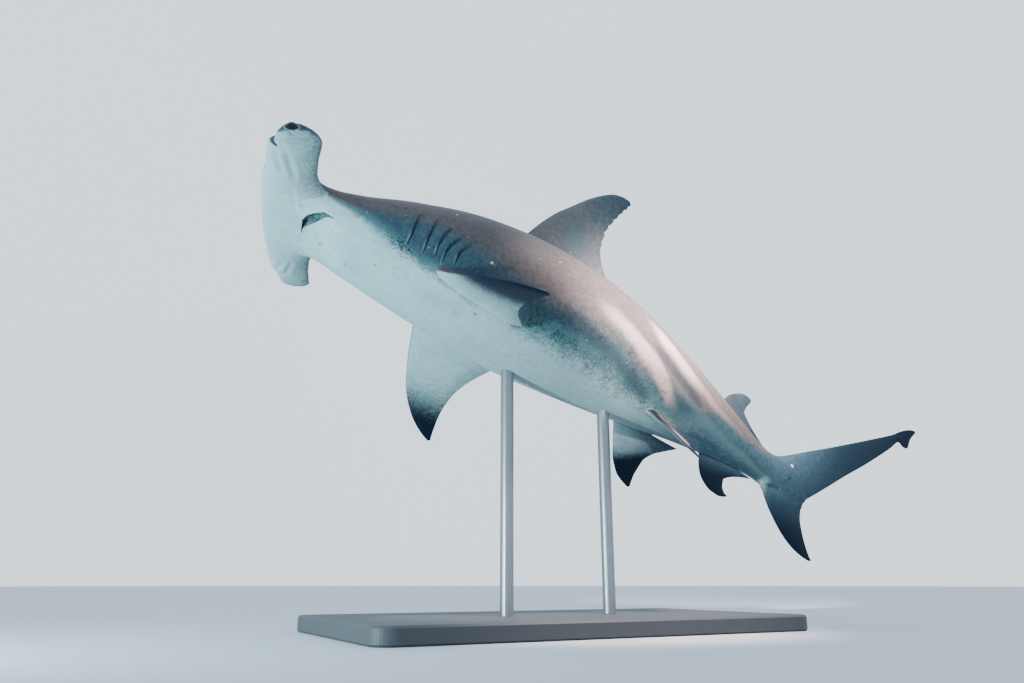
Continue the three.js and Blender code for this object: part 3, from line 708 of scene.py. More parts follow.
def head_relief(points):
    """How far each skin point moves up, in thousandths: furrows under the head, the groove of the
    mouth where it is shut and the swell of the lips."""
    back, left, up = body_places(points)
    rise = np.zeros(len(points))
    for start, end, half, depth in FURROWS:
        start, end = np.array(start), np.array(end)
        along, length = end - start, np.linalg.norm(end - start)
        off = np.stack([back, left], 1) - start
        share = off @ along / length**2
        gap = np.linalg.norm(off - np.clip(share, 0, 1)[:, None] * along, axis=1)
        fade = ease(-0.1, 0.25, share) * fall(0.6, 1.1, share)
        rise += fade * depth * (bump(gap, half) - 0.45 * bump(gap - half, half))
    steps = np.arange(1 - len(UPPER_LIP), len(UPPER_LIP) - 0.95, 0.05)
    for line in (upper_lip, lower_lip):
        lip_back, lip_left = line(steps)
        gap = np.hypot(back[:, None] - lip_back, left[:, None] - lip_left)
        first = gap.argmin(1)
        gap, at = gap[np.arange(len(points)), first], steps[first]
        shut = fall(SHUT_TO, SHUT_FROM, at)
        rise += shut * SHUT_GROOVE * bump(gap, 3) * (1 - 0.6 * ease(2, 6, -at))
        rise -= (1 - shut) * LIP_SWELL * bump(gap - 1, 3)
    return rise * ease(-1, -3.5, up) * (back < HEAD_END) * (back > 20)


low_head = np.nonzero((skin_points[:, 0] > -HEAD_END * UNIT) & (skin_points[:, 2] < 0))[0]
skin_points[low_head, 2] += head_relief(skin_points[low_head]) * UNIT
set_positions(skin_mesh, skin_points)


def read_marks(points):
    """Which part each skin point came from, its marks there, and how deep and how near the rim of
    a gill slit it is."""
    order = list(parts)
    starts = np.cumsum([0] + [len(parts[name][0]) for name in order])
    tree = kd_tree(np.concatenate([parts[name][0] for name in order]))
    found = np.array([tree.find(point)[1] for point in points])
    which = np.searchsorted(starts, found, side="right") - 1
    all_marks = np.concatenate([parts[name][2] for name in order])
    gills = np.zeros((starts[-1], 2))
    gills[: body_deep.size] = np.stack([body_deep.ravel(), body_rim.ravel()], 1)
    return np.array(order)[which], all_marks[found], gills[found]


# Mouth, nostrils and eye sockets are cut from the straight skin
def mouth_rings(steps_between=10):
    last = len(UPPER_LIP) - 1
    step = np.linspace(SHUT_TO - 0.1, last, last * steps_between + 1)
    upper, lower = np.array(upper_lip(step)), np.array(lower_lip(step))
    lower = upper + (lower - upper) * (0.04 + 0.96 * ease(SHUT_TO, SHUT_FROM, step))
    width = np.hypot(*(lower - upper))
    shrink = np.minimum(0.35, ROOF_SHRINK / width)
    roof_front, roof_rear = upper + (lower - upper) * shrink, upper + (lower - upper) * (1 - shrink)
    corners = [
        (upper, MOUTH_BELOW), (roof_front, MOUTH_ROOF - ROOF_SLOPE), (roof_rear, MOUTH_ROOF),
        (lower, MOUTH_BELOW),
    ]
    return np.stack([straight(line[0], line[1], up) for line, up in corners], 1)


cutters = [new_object("mouth_space", *loft(mouth_rings()))]
for _, side in SIDES:
    cutters.append(new_object("socket", *oval(EYE, side, SOCKET_WIDER)))
    cutters.append(new_object("nostril", *oval(NOSTRIL, side, 0, 24, 16)))
cut_trees = []
for cutter in cutters:
    corners = [vertex.co for vertex in cutter.data.vertices]
    cut_trees.append(BVHTree.FromPolygons(corners, [face.vertices for face in cutter.data.polygons]))
skin_mesh = combined(linked("straight_skin", skin_mesh), cutters, "DIFFERENCE")
straight_points = positions(skin_mesh)
cut_depth = np.zeros(len(straight_points))
for i in np.nonzero(straight_points[:, 0] > -HEAD_END * UNIT)[0]:
    gaps = [tree.find_nearest(Vector(straight_points[i]), 0.2 * MM)[0] for tree in cut_trees]
    cut_depth[i] = any(gap is not None for gap in gaps)

label, marks, gill_marks = read_marks(straight_points)
set_positions(skin_mesh, in_part(straight_points))


# Colour marks, all worked out from the straight shape. The border of the pale belly: station,
# degrees above the flank and how soft it is
BORDER = [
    (40, -2, 3), (76, -4, 6), (90, -5, 9), (112, -8, 11), (131, -14, 11), (148, -22, 10),
    (163, -28, 9), (183, -30, 9), (230, -32, 12), (290, -31, 16), (340, -33, 18), (400, -40, 20),
    (450, -45, 18), (490, -48, 18), (515, -40, 16), (540, -33, 14), (600, -37, 14), (653, -45, 16),
    (712, -70, 18),
]
# Above this angle the blue-grey flank turns to the brown back
BROWN_STATIONS = [80, 90, 109, 134, 161, 186, 206, 228, 250, 290, 350, 450, 520, 560, 620, 700]
BROWN_ANGLES = [-10, -6, 1, 11, 10, 7, 2, -3, -9, -12, -15, -28, -20, -8, -2, 12]
# Where the black of each fin's tip starts and is full, as shares of its reach
TIP_REACH = {
    "pectoral_left": (0.36, 0.68), "pectoral_right": (0.42, 0.86),
    "pelvic_left": (0.5, 0.8), "pelvic_right": (0.38, 0.66),
    "lower_lobe": (-0.1, 0.8), "anal": (-0.1, 0.5), "second_dorsal": (0.8, 1.1),
    "upper_lobe": (-0.3, 1.3),
}

border_stations, border_angles, border_widths = zip(*BORDER)
border_angle = smooth_table(border_stations, border_angles)
border_width = smooth_table(border_stations, border_widths)
brown_angle = smooth_table(BROWN_STATIONS, BROWN_ANGLES)


MARK_NAMES = ("dark", "brown", "tip", "dusk", "dash", "crack", "rear", "gleam", "shade")


def paint_marks(points, label, marks):
    """The colour marks of the skin by name.

    Dark: below 0 is the pale belly. Brown: above 0 is the brown back. Tip: how black, for the black
    fin tips and for painted shade at the nostrils. Dusk: a thin grey veil along edges. Dash and
    crack: where short dashes and fine cracks show. Rear: the belly greyer and darker towards the
    rear, partly painted shade. Gleam: painted highlights on the flank's muscle swells and on the
    left pelvic fin's upper face; it also makes the first dorsal paler and the second dorsal's end
    pale. Shade: painted shade in the flank's furrow and in a strip below its lit part; it also
    darkens the left pelvic fin's front and the second dorsal. The pairs of numbers are the
    stations, angles, heights or shares where each mark starts and where it is full.
    """
    back, left, up = body_places(points)
    out = np.abs(left)
    share, reach, face = marks.T
    tall = np.where(up > 0, body_up(back), body_down(back))
    angle = np.degrees(np.arctan2(up / tall, out / body_width(back)))
    look = {name: np.zeros(len(points)) for name in MARK_NAMES}

    def put(where, **values):
        for name, value in values.items():
            look[name] = np.where(where, value, look[name])

    look["dark"] = np.clip((angle - border_angle(back)) / border_width(back), -3, 3)
    look["brown"] = (angle - brown_angle(back)) / 14

    # Head: the border runs along the wing's front edge, lower by the eye, with painted shade, near black,
    # in and around the nostril
    on_wing = np.isin(label, ("wing", "lid_left", "lid_right"))
    lead, trail = wing_lead(out), wing_trail(out)
    chord = (back - lead) / np.maximum(trail - lead, 1)
    by_eye = bump(back - EYE["back"] + 3, 17) * ease(110, 121, out)
    edge = 0.6 - 4.4 * by_eye
    # Painted shade, near black, in and around each nostril
    nostril_shade = bump(back - NOSTRIL["back"] + 2, 7) * bump(out - NOSTRIL["out"] - 1, 7) * ease(-6, -1, up)
    put(
        on_wing,
        dark=np.clip((up - edge) / 1.3, -3, 3),
        brown=np.clip((up - 2.5) / 2.5, -2, 2),
        dusk=np.maximum(ease(0.45, 0.95, chord), ease(98, 126, out)),
        tip=nostril_shade * 0.9,
    )

    # Tail stalk and tail fin: dark, the stalk pale below
    tail = np.isin(label, ("body", "upper_lobe", "lower_lobe")) & (back > 640)
    tail_dark = 2.2 - 2.9 * (ease(-9, -19, up) * fall(690, 716, back))
    blend = ease(650, 700, back)
    put(
        tail,
        dark=look["dark"] * (1 - blend) + tail_dark * blend,
        brown=look["brown"] * (1 - blend) + blend * np.clip((up - 16) / 10, -2, 0.4),
    )

    # Fins of the middle line
    put(np.isin(label, ("first_dorsal", "second_dorsal")), dark=0.7 + 0.5 * reach, brown=0.2 - 0.5 * reach)
    free_tip = (label == "second_dorsal") & (reach < 0.5)
    put(free_tip, tip=0.35 + 0.65 * ease(0.55, 0.75, share))
    put(label == "anal", dark=np.clip(reach * 20 - 2 + 5 * share, -1, 3), brown=-2)
    put(tail, brown=look["brown"] - 3 * ease(690, 735, back))

    # Black tips, and the veil along the paired fins' rear edges
    for name, (start, end) in TIP_REACH.items():
        here = label == name
        slant = 0.1 * share if name == "pectoral_left" else 0
        put(here, tip=np.maximum(look["tip"], ease(start, end, reach - slant)))
        if name in PAIRED_FINS:
            dark = np.where(face > 0, 3.0, -3.0) + 3 * fall(0, 0.04, share)
            put(here, dark=dark, brown=1.5, dusk=ease(0.62, 1.0, share) * ease(0.12, 0.4, reach))
    put(label == "pelvic_right", dusk=ease(0.3, 0.8, share))
    for name, veil in (
        ("pectoral_left", ease(0.2, 0.6, reach) * 0.9), ("pectoral_right", ease(0.35, 0.75, reach) * 0.8),
    ):
        put(label == name, dusk=np.maximum(look["dusk"], veil))

    # Flank: dashes below the gills, cracks along the border, painted highlights on the muscle swells and
    # painted shade in the furrow between them and below the lit part
    on_body = label == "body"
    crack = ease(255, 285, back) * fall(455, 510, back)
    crack = crack * ease(-1.5, -0.7, look["dark"]) * fall(1.0, 1.8, look["dark"])
    put(on_body, dash=bump(back - 143, 22) * bump(angle + 22, 20) * (left > 0), crack=crack)
    # The belly greyer and darker towards the rear, partly painted shade under the body
    look["rear"] = ease(430, 560, back) * (1 - 0.5 * ease(676, 700, back))
    off = angle - furrow_angle(back)
    # The painted highlights and shade are full on the left side and weaker on the right
    seen = np.where(left > 0, 1, 0.3)
    on_flank = on_body * ease(300, 400, back) * seen
    # Painted highlights on the muscle swells below and above the furrow
    below = bump(off + 19 + 12 * ease(430, 490, back), 17) * fall(452, 512, back)
    above = bump(off - 17, 17) * ease(390, 440, back) * (1 - 0.5 * ease(480, 520, back))
    above = above * fall(560, 660, back)
    # Painted shade in the furrow and in a strip below the lit part of the flank
    furrow = on_flank * bump(off, 14) * ease(400, 450, back) * fall(500, 540, back)
    band = seen * on_body * bump(off + 47, 17) * ease(285, 320, back) * fall(430, 465, back)
    look["gleam"] = on_flank * np.maximum(below, above)
    look["shade"] = np.maximum(furrow, 0.85 * band)

    # Painted highlight on the left pelvic fin's upper face, which is darker along its front; the first
    # dorsal a little paler, the second darker with a pale end
    put(
        (label == "pelvic_left") & (face > 0),
        gleam=ease(0.2, 0.3, share) * fall(0.9, 1, share),
        shade=fall(0.1, 0.22, share),
    )
    end_share = ease(0.86, 1, reach)
    put(label == "second_dorsal", shade=0.9 - 0.9 * end_share, gleam=end_share)
    put(label == "first_dorsal", gleam=0.22 * (1 - end_share))
    return look


for name, values in paint_marks(straight_points, label, marks).items():
    add_mark(skin_mesh, name, values)
add_mark(skin_mesh, "deep", np.maximum(gill_marks[:, 0], cut_depth))
add_mark(skin_mesh, "rim", gill_marks[:, 1])
add_vector_mark(skin_mesh, "place", straight_points)
shade_smooth(skin_mesh)


# Materials
class Nodes:
    """A short way to write a node tree."""

    def __init__(self, tree):
        self.tree = tree

    def add(self, kind, settings=None, **inputs):
        """A node; an input goes by its name, with _ for a space, or by its number, as i0 or i1."""
        node = self.tree.nodes.new(kind)
        for key, value in (settings or {}).items():
            setattr(node, key, value)
        for key, value in inputs.items():
            numbered = key[0] == "i" and key[1:].isdigit()
            self.put(node.inputs[int(key[1:]) if numbered else key.replace("_", " ")], value)
        return node

    def put(self, socket, value):
        if hasattr(value, "is_output"):
            self.tree.links.new(value, socket)
        else:
            socket.default_value = value

    def math(self, operation, a, b):
        return self.add("ShaderNodeMath", {"operation": operation}, i0=a, i1=b).outputs[0]

    def plus(self, a, b):
        return self.math("ADD", a, b)

    def times(self, a, b):
        return self.math("MULTIPLY", a, b)

    def vector(self, operation, a, **others):
        node = self.add("ShaderNodeVectorMath", {"operation": operation}, i0=a, **others)
        return node.outputs["Value" if operation in ("DISTANCE", "LENGTH") else "Vector"]


class Look(Nodes):
    """A material, written from its patterns to its shader."""

    def __init__(self, name):
        self.material = bpy.data.materials.new(name)
        self.material.use_nodes = True
        super().__init__(self.material.node_tree)
        self.shader = self.tree.nodes["Principled BSDF"]

    def mark(self, name, output="Fac"):
        return self.add("ShaderNodeAttribute", {"attribute_name": name}).outputs[output]

    def place(self):
        return self.add("ShaderNodeTexCoord").outputs["Object"]

    def stretched(self, where, turn, scale):
        node = self.add("ShaderNodeMapping", Vector=where, Rotation=turn, Scale=scale)
        return node.outputs["Vector"]

    def noise(self, where, scale, detail=3.0, roughness=0.55):
        node = self.add("ShaderNodeTexNoise", Vector=where, Scale=scale, Detail=detail, Roughness=roughness)
        return node.outputs["Fac"]

    def step(self, value, low, high):
        """0 up to low, rising smoothly to 1 at high."""
        settings = {"interpolation_type": "SMOOTHSTEP"}
        return self.add("ShaderNodeMapRange", settings, Value=value, From_Min=low, From_Max=high).outputs[0]

    def fade(self, value, low, high):
        return self.math("SUBTRACT", 1.0, self.step(value, low, high))

    def swing(self, value, size):
        """A pattern of 0 to 1 as one to either side of 0."""
        return self.times(self.math("SUBTRACT", value, 0.5), size)

    def mix(self, share, a, b):
        return self.add("ShaderNodeMix", {"data_type": "RGBA"}, Factor=share, i6=a, i7=b).outputs[2]

    def coat(self, base, share, weight, tint):
        """A coat of the tint on the base colour, as strong as the share times the weight."""
        return self.mix(self.times(share, weight), base, tint)

    def shade(self, **values):
        """Set the shader's own sockets."""
        for name, value in values.items():
            self.put(self.shader.inputs[name.replace("_", " ")], value)

    def rough(self, low, pattern, spread):
        self.shade(Roughness=self.plus(low, self.times(pattern, spread)))

    def bump(self, height, strength, distance):
        node = self.add("ShaderNodeBump", Strength=strength, Distance=distance, Height=height)
        self.shade(Normal=node.outputs["Normal"])


def colour(red, green, blue):
    """An sRGB colour, 0 to 255, as Blender's linear one."""
    def linear(v):
        v /= 255
        return v / 12.92 if v <= 0.04045 else ((v + 0.055) / 1.055) ** 2.4

    return (linear(red), linear(green), linear(blue), 1.0)


# Single spots on the left side: body place, radius in millimetres and whether pale
SPOTS = [
    ((225.3, 68.3, -5.6), 6, True), ((184.4, 50.9, 37.0), 4, True), ((732.0, 7.6, 20.4), 10, True),
    ((291.3, 65.9, 31.5), 4, True), ((204.9, 65.7, 9.0), 12, False), ((40.2, 123.0, -5.2), 5, False),
    ((53.5, 38.1, -12.1), 9, False), ((76.9, 4.7, -25.5), 8, False), ((104.8, 9.3, -38.0), 8, False),
    ((221.4, 50.0, -44.7), 7, False), ((230.5, 45.1, -50.8), 7, False), ((129.3, 33.1, -38.2), 5, False),
]


def rare_cells(m, where, scale, channel, chosen, edge):
    """Scattered round marks: one in some cells, picked by a channel of the cell's own colour."""
    cells = m.add("ShaderNodeTexVoronoi", {"feature": "F1"}, Vector=where, Scale=scale)
    picks = m.add("ShaderNodeSeparateColor", Color=cells.outputs["Color"]).outputs[channel]
    return m.times(m.fade(cells.outputs["Distance"], *edge), m.step(picks, *chosen))


def eye_ring(m, base, place, speck):
    """A black ring round each eye, and a thin pale one outside it."""
    from_eye = m.vector("SUBTRACT", place, i1=tuple(straight(EYE["back"], 0, 0)))
    from_eye = m.vector("MULTIPLY", from_eye, i1=(0.8, 0, 1.2))
    left = m.add("ShaderNodeSeparateXYZ", Vector=place).outputs["Y"]
    gap = m.plus(m.vector("LENGTH", from_eye), m.times(m.swing(speck, 0.6), UNIT))
    at_tip = m.step(m.math("ABSOLUTE", left, 0.0), 108 * UNIT, 112 * UNIT)
    for inner, outer, weight, tint in (
        (4.8, 5.6, 0.5, colour(150, 172, 180)), (3.8, 4.5, 0.95, colour(3, 15, 28)),
    ):
        ring = m.fade(gap, inner * UNIT, outer * UNIT)
        base = m.coat(base, m.times(at_tip, ring), weight, tint)
    return base


def skin_material():
    m = Look("shark_skin")
    place = m.mark("place", "Vector")
    dark, brown, tip, dusk, dash, crack, rear, gleam, shade = (m.mark(name) for name in MARK_NAMES)
    broad = m.noise(place, 7, 4)
    mottle = m.noise(place, 60, 5, 0.7)
    speck = m.noise(place, 170, 3, 0.75)
    fine = m.noise(place, 420, 3, 0.6)
    grain = m.noise(place, 1100, 2, 0.5)

    # Pale belly, a greenish border, blue-grey flank and brown back
    level = m.plus(dark, m.plus(m.swing(broad, 1.0), m.swing(mottle, 0.9)))
    level = m.plus(level, m.swing(speck, 1.5))
    warmth = m.plus(brown, m.plus(m.swing(broad, 1.4), m.swing(mottle, 0.8)))
    back = m.mix(m.step(mottle, 0.3, 0.7), colour(80, 75, 77), colour(100, 92, 91))
    flank = m.mix(m.step(mottle, 0.3, 0.7), colour(42, 70, 84), colour(64, 92, 104))
    upper = m.mix(m.step(warmth, -0.7, 1.0), flank, back)
    upper = m.coat(upper, m.step(speck, 0.5, 0.8), 0.55, colour(118, 120, 124))
    belly = m.mix(m.step(mottle, 0.3, 0.75), colour(202, 234, 238), colour(182, 218, 222))
    belly = m.coat(belly, m.step(broad, 0.45, 0.75), 0.7, colour(164, 204, 210))
    # Towards the rear the belly is greyer and darker, partly painted shade
    belly = m.coat(belly, rear, m.step(mottle, -0.1, 0.55), colour(82, 116, 132))
    between = m.mix(m.step(warmth, -0.7, 1.2), colour(84, 122, 130), colour(128, 138, 136))
    base = m.mix(m.step(level, -1.3, 0.0), belly, between)
    base = m.mix(m.step(level, -0.2, 1.0), base, upper)

    # Painted highlights on the flank's muscle swells and painted shade in its furrow and below its lit
    # part; the same marks also tone the dorsal fins and the left pelvic fin
    uneven = m.plus(m.swing(broad, 0.5), m.swing(speck, 0.5))
    # Painted shade in the furrow and below the lit flank, also the second dorsal's darker tone
    base = m.coat(base, m.step(m.plus(shade, uneven), 0.2, 0.9), 0.62, colour(34, 46, 56))
    # Painted highlight on the muscle swells and the left pelvic fin, also the paler tone of the dorsal fins
    base = m.coat(base, m.step(m.plus(gleam, uneven), 0.15, 1.0), 0.6, colour(196, 184, 180))

    # Streaks of the muscles under the skin
    streaks = m.noise(m.stretched(place, (0, 0, 0), (1.2, 9, 9)), 16, 4, 0.6)
    base = m.coat(base, m.step(streaks, 0.5, 0.75), 0.22, colour(36, 50, 62))

    # Fine dark cracks where the pale belly meets the flank
    shift = m.add("ShaderNodeTexNoise", Vector=place, Scale=44.0, Detail=4.0).outputs["Color"]
    warped = m.vector("ADD", place, i1=m.vector("SCALE", shift, Scale=0.045))
    cracks = m.add("ShaderNodeTexVoronoi", {"feature": "DISTANCE_TO_EDGE"}, Vector=warped, Scale=52.0)
    lines = m.times(m.fade(cracks.outputs["Distance"], 0.0, 0.09), crack)
    lines = m.times(lines, m.step(m.noise(place, 26, 4, 0.6), 0.42, 0.56))
    base = m.coat(base, lines, 0.8, colour(24, 42, 52))

    # Short dashes below the first gill slits, sparse scratches on the belly and pale flecks
    ticks = m.noise(m.stretched(place, (0, 0, 0.9), (0.9, 4, 3)), 90, 2, 0.5)
    ticks = m.step(m.plus(ticks, m.times(dash, 0.2)), 0.66, 0.72)
    base = m.coat(base, m.times(ticks, m.step(dash, 0, 0.4)), 0.85, colour(24, 48, 60))
    long = m.stretched(place, (0, 0, 0.5), (1, 3.2, 1))
    scratches = rare_cells(m, long, 13.0, 0, (0.72, 0.76), (0.05, 0.11))
    base = m.coat(base, scratches, 0.5, colour(70, 96, 100))
    flecks = rare_cells(m, place, 64.0, 1, (0.95, 0.97), (0.1, 0.2))
    base = m.coat(base, flecks, 0.45, colour(206, 212, 212))

    # The grey veil with its rays, the black tips, the painted shade at the nostrils and the single spots
    rays = m.noise(m.stretched(place, (0, 0, 0.35), (1, 7, 7)), 34, 3, 0.6)
    veil = m.plus(m.times(m.step(speck, 0.1, 0.75), 0.7), m.times(m.step(rays, 0.45, 0.62), 0.5))
    base = m.coat(base, m.times(dusk, veil), 0.62, colour(34, 58, 70))
    blackness = m.plus(tip, m.plus(m.swing(mottle, 0.35), m.swing(speck, 0.45)))
    base = m.mix(m.step(blackness, 0.1, 0.95), base, colour(2, 22, 44))
    for centre, size, pale in SPOTS:
        gap = m.vector("DISTANCE", place, i1=tuple(straight(*centre)))
        weight, tint = (0.85, colour(226, 230, 232)) if pale else (0.55, colour(48, 74, 84))
        base = m.coat(base, m.fade(gap, size * 0.5 * MM, size * MM), weight, tint)

    base = eye_ring(m, base, place, speck)
    base = m.coat(base, m.mark("rim"), 0.8, colour(184, 208, 216))
    inside = m.mix(m.step(mottle, 0.35, 0.65), colour(46, 70, 78), colour(104, 134, 138))
    base = m.mix(m.step(m.mark("deep"), 0.3, 0.9), base, inside)
    m.shade(Base_Color=base, Specular_IOR_Level=0.15)
    m.rough(0.4, fine, 0.22)
    height = m.plus(m.times(speck, 0.5), m.plus(m.times(fine, 0.3), m.times(grain, 0.1)))
    m.bump(m.plus(height, m.times(lines, -0.15)), 0.5, 0.002)
    return m.material


skin_mesh.materials.clear()
skin_mesh.materials.append(skin_material())
skin = linked("skin", skin_mesh)
FLESH = [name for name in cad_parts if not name.startswith(("stand_", "eye_"))]
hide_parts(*FLESH)
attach(skin, "root")


# Small repeated pieces, set out by Geometry Nodes and then kept as plain meshes
def repeated(name, carrier, look, patch, **sizes):
    """Set cones on the carrier: in even rows along its edges, or, on a patch, scattered over its
    faces. The sizes are the group's inputs: Count or Density, Width, Depth, Height in metres,
    Unevenness and Seed."""
    g = Nodes(bpy.data.node_groups.new(name, "GeometryNodeTree"))
    new_socket = g.tree.interface.new_socket
    for way in ("OUTPUT", "INPUT"):
        new_socket(name="Geometry", in_out=way, socket_type="NodeSocketGeometry")
    identifiers = {}
    for label, value in sizes.items():
        kind = "NodeSocketInt" if isinstance(value, int) else "NodeSocketFloat"
        identifiers[label] = new_socket(name=label, in_out="INPUT", socket_type=kind).identifier
    given, end = g.add("NodeGroupInput").outputs, g.add("NodeGroupOutput")

    start = given["Geometry"]
    if patch:
        spots = g.add("GeometryNodeDistributePointsOnFaces", Mesh=start, Density=given["Density"],
                      Seed=given["Seed"])
        points, turn = spots.outputs["Points"], spots.outputs["Rotation"]
    else:
        path = g.add("GeometryNodeMeshToCurve", Mesh=start).outputs[0]
        points = g.add("GeometryNodeResampleCurve", Curve=path, Count=given["Count"]).outputs[0]
        vector = {"data_type": "FLOAT_VECTOR"}
        grow = g.add("GeometryNodeInputNamedAttribute", vector, Name="grow").outputs[0]
        ahead = g.add("GeometryNodeInputNamedAttribute", vector, Name="ahead").outputs[0]
        upright = g.add("FunctionNodeAlignRotationToVector", {"axis": "Z"}, Vector=grow).outputs[0]
        turn = g.add("FunctionNodeAlignRotationToVector", {"axis": "X", "pivot_axis": "Z"},
                     Rotation=upright, Vector=ahead).outputs[0]
    cone = g.add("GeometryNodeMeshCone", {"fill_type": "TRIANGLE_FAN"}, Vertices=6, Radius_Top=0.06,
                 Radius_Bottom=0.5, Depth=1.0)
    least = g.math("SUBTRACT", 1.0, given["Unevenness"])
    chance = g.add("FunctionNodeRandomValue", {"data_type": "FLOAT"}, i2=least, Seed=given["Seed"])
    size = g.add("ShaderNodeCombineXYZ", X=given["Width"], Y=given["Depth"], Z=given["Height"])
    uneven = g.vector("SCALE", size.outputs[0], Scale=chance.outputs[1])
    placed = g.add("GeometryNodeInstanceOnPoints", Points=points, Instance=cone.outputs["Mesh"],
                   Rotation=turn, Scale=uneven)
    real = g.add("GeometryNodeRealizeInstances", Geometry=placed.outputs[0])
    painted = g.add("GeometryNodeSetMaterial", Geometry=real.outputs[0], Material=look)
    g.put(end.inputs[0], painted.outputs[0])

    growth = carrier.modifiers.new(name, "NODES")
    growth.node_group = g.tree
    for label, value in sizes.items():
        growth[identifiers[label]] = value
    graph = bpy.context.evaluated_depsgraph_get()
    mesh = bpy.data.meshes.new_from_object(carrier.evaluated_get(graph), depsgraph=graph)
    carrier.modifiers.clear()
    carrier.data = mesh
    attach(carrier, "root")
    mesh.materials.clear()
    mesh.materials.append(look)
    mesh.polygons.foreach_set("material_index", [0] * len(mesh.polygons))


def path_carrier(name, rows, grow):
    """Edges along rows of straight points, with the way each piece grows and the way ahead."""
    points, ways, steps, edges = [], [], [], []
    for row, way in zip(rows, grow):
        start = sum(len(p) for p in points)
        placed, tips = in_part(row), in_part(row + way * MM)
        points.append(placed)
        ways.append(tips - placed)
        steps.append(np.gradient(placed, axis=0))
        edges.extend((start + i, start + i + 1) for i in range(len(row) - 1))
    mesh = bpy.data.meshes.new(name)
    mesh.from_pydata(np.concatenate(points).tolist(), edges, [])
    add_vector_mark(mesh, "grow", np.concatenate(ways))
    add_vector_mark(mesh, "ahead", np.concatenate(steps))
    return linked(name, mesh)


def plain_look(name, dark_colour, pale_colour, roughness):
    m = Look(name)
    cloud = m.noise(m.place(), 240, 3)
    m.shade(Base_Color=m.mix(cloud, dark_colour, pale_colour))
    m.rough(roughness, cloud, 0.15)
    return m.material


# The row of teeth runs between these steps of the upper lip
TOOTH_STEPS = (1.1, 6.6)
FAR_BELOW = -80


def tooth_row():
    """A row along the open side of the upper lip, growing down and to the rear."""
    faces = [face.vertices[:] for face in skin_mesh.polygons]
    tree = BVHTree.FromPolygons(straight_points.tolist(), faces)
    row = []
    for lip_back, lip_left in zip(*upper_lip(np.linspace(*TOOTH_STEPS, 60))):
        hit = tree.ray_cast(Vector(straight(lip_back - 0.8, lip_left, FAR_BELOW)), Vector((0, 0, 1)))[0]
        row.append(straight(lip_back + 0.2, lip_left, hit.z / UNIT + 0.9))
    return [np.array(row)], [np.broadcast_to((-0.5, 0.0, -1.0), (len(row), 3))]


repeated("upper_teeth", path_carrier("upper_teeth", *tooth_row()),
         plain_look("tooth_enamel", colour(196, 204, 196), colour(222, 226, 216), 0.2), False,
         Count=22, Width=0.0072, Depth=0.0028, Height=0.008, Unevenness=0.25, Seed=7)


# The filaments run between these shares of a slit, as deep in it as this in millimetres
FILAMENT_SHARES = (0.14, 0.9)
FILAMENT_DEPTH = 8


def slit_row(gill, side):
    """A row in the groove of a gill slit, growing outwards."""
    t = np.linspace(*FILAMENT_SHARES, 24)
    line = slit_line(gill, t) + 1
    top_angle, bottom_angle = gill[0][1], gill[1][1]
    angle = np.radians(top_angle + (bottom_angle - top_angle) * t)
    tall = np.where(angle > 0, body_up(line), body_down(line))
    points = straight(line, body_width(line) * np.cos(angle), tall * np.sin(angle))
    outward = np.stack([np.zeros_like(angle), np.cos(angle), np.sin(angle)], 1)
    points = points - outward * FILAMENT_DEPTH * MM
    return points * (1, side, 1), outward * (1, side, 1)


slits = [slit_row(gill, side) for _, side in SIDES for gill in GILLS]
repeated("gill_filaments", path_carrier("gill_filaments", *zip(*slits)),
         plain_look("gill_tissue", colour(58, 50, 56), colour(96, 78, 82), 0.4), False,
         Count=34, Width=0.0014, Depth=0.0024, Height=0.006, Unevenness=0.3, Seed=11)


# Where the pores are, in thousandths: behind the first station, up to a width and below a height
PORE_BACK, PORE_SIDE, PORE_TOP = (22, 52), 98, -4


def pore_patch():
    """The front of the head's underside, for small dark dimples."""
    corners = np.array([face.vertices[:3] for face in skin_mesh.polygons])
    back, left, up = body_places(straight_points[corners].mean(1))
    first, second, third = (straight_points[corners[:, k]] for k in range(3))
    facing = np.cross(second - first, third - first)[:, 2] < 0
    near = (back > PORE_BACK[0]) & (back < PORE_BACK[1]) & (np.abs(left) < PORE_SIDE) & (up < PORE_TOP)
    used = corners[facing & near]
    kept, at = np.unique(used, return_inverse=True)
    return new_object("snout_pores", positions(skin_mesh)[kept], at.reshape(used.shape).tolist())


pore_look = plain_look("pore_shadow", colour(52, 74, 80), colour(76, 100, 104), 0.6)
repeated("snout_pores", pore_patch(), pore_look, True,
         Density=900.0, Width=0.0022, Depth=0.0022, Height=0.0004, Unevenness=0.5, Seed=3)


# Eyes
PUPIL, IRIS = 5.2 * MM, 10 * MM


def eye_material(name, front):
    """A black pupil in a dull iris round the eye's front point, and a dark ball beyond it."""
    m = Look(f"{name}_eye_look")
    cloud = m.noise(m.place(), 160, 3)
    gap = m.vector("DISTANCE", m.place(), i1=tuple(front))
    ring = m.times(m.step(gap, PUPIL, PUPIL + 0.8 * MM), m.fade(gap, IRIS - 1.5 * MM, IRIS))
    ball_colour = m.mix(cloud, colour(5, 7, 10), colour(16, 20, 26))
    iris_colour = m.mix(cloud, colour(22, 24, 25), colour(44, 44, 40))
    m.shade(Base_Color=m.mix(ring, ball_colour, iris_colour), Roughness=0.16, Specular_IOR_Level=0.3)
    return m.material


for name, side in SIDES:
    out = EYE["out"] + EYE_RADIUS * MM / UNIT
    front = in_part(straight([EYE["back"]], [side * out], [EYE["up"]]))[0]
    eye_look = eye_material(name, front)
    points, faces = oval(EYE, side)
    eye = new_object(f"eyeball_{name}", in_part(points), faces)
    shade_smooth(eye.data)
    eye.data.materials.append(eye_look)
    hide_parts(f"eye_{name}")
    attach(eye, "root")


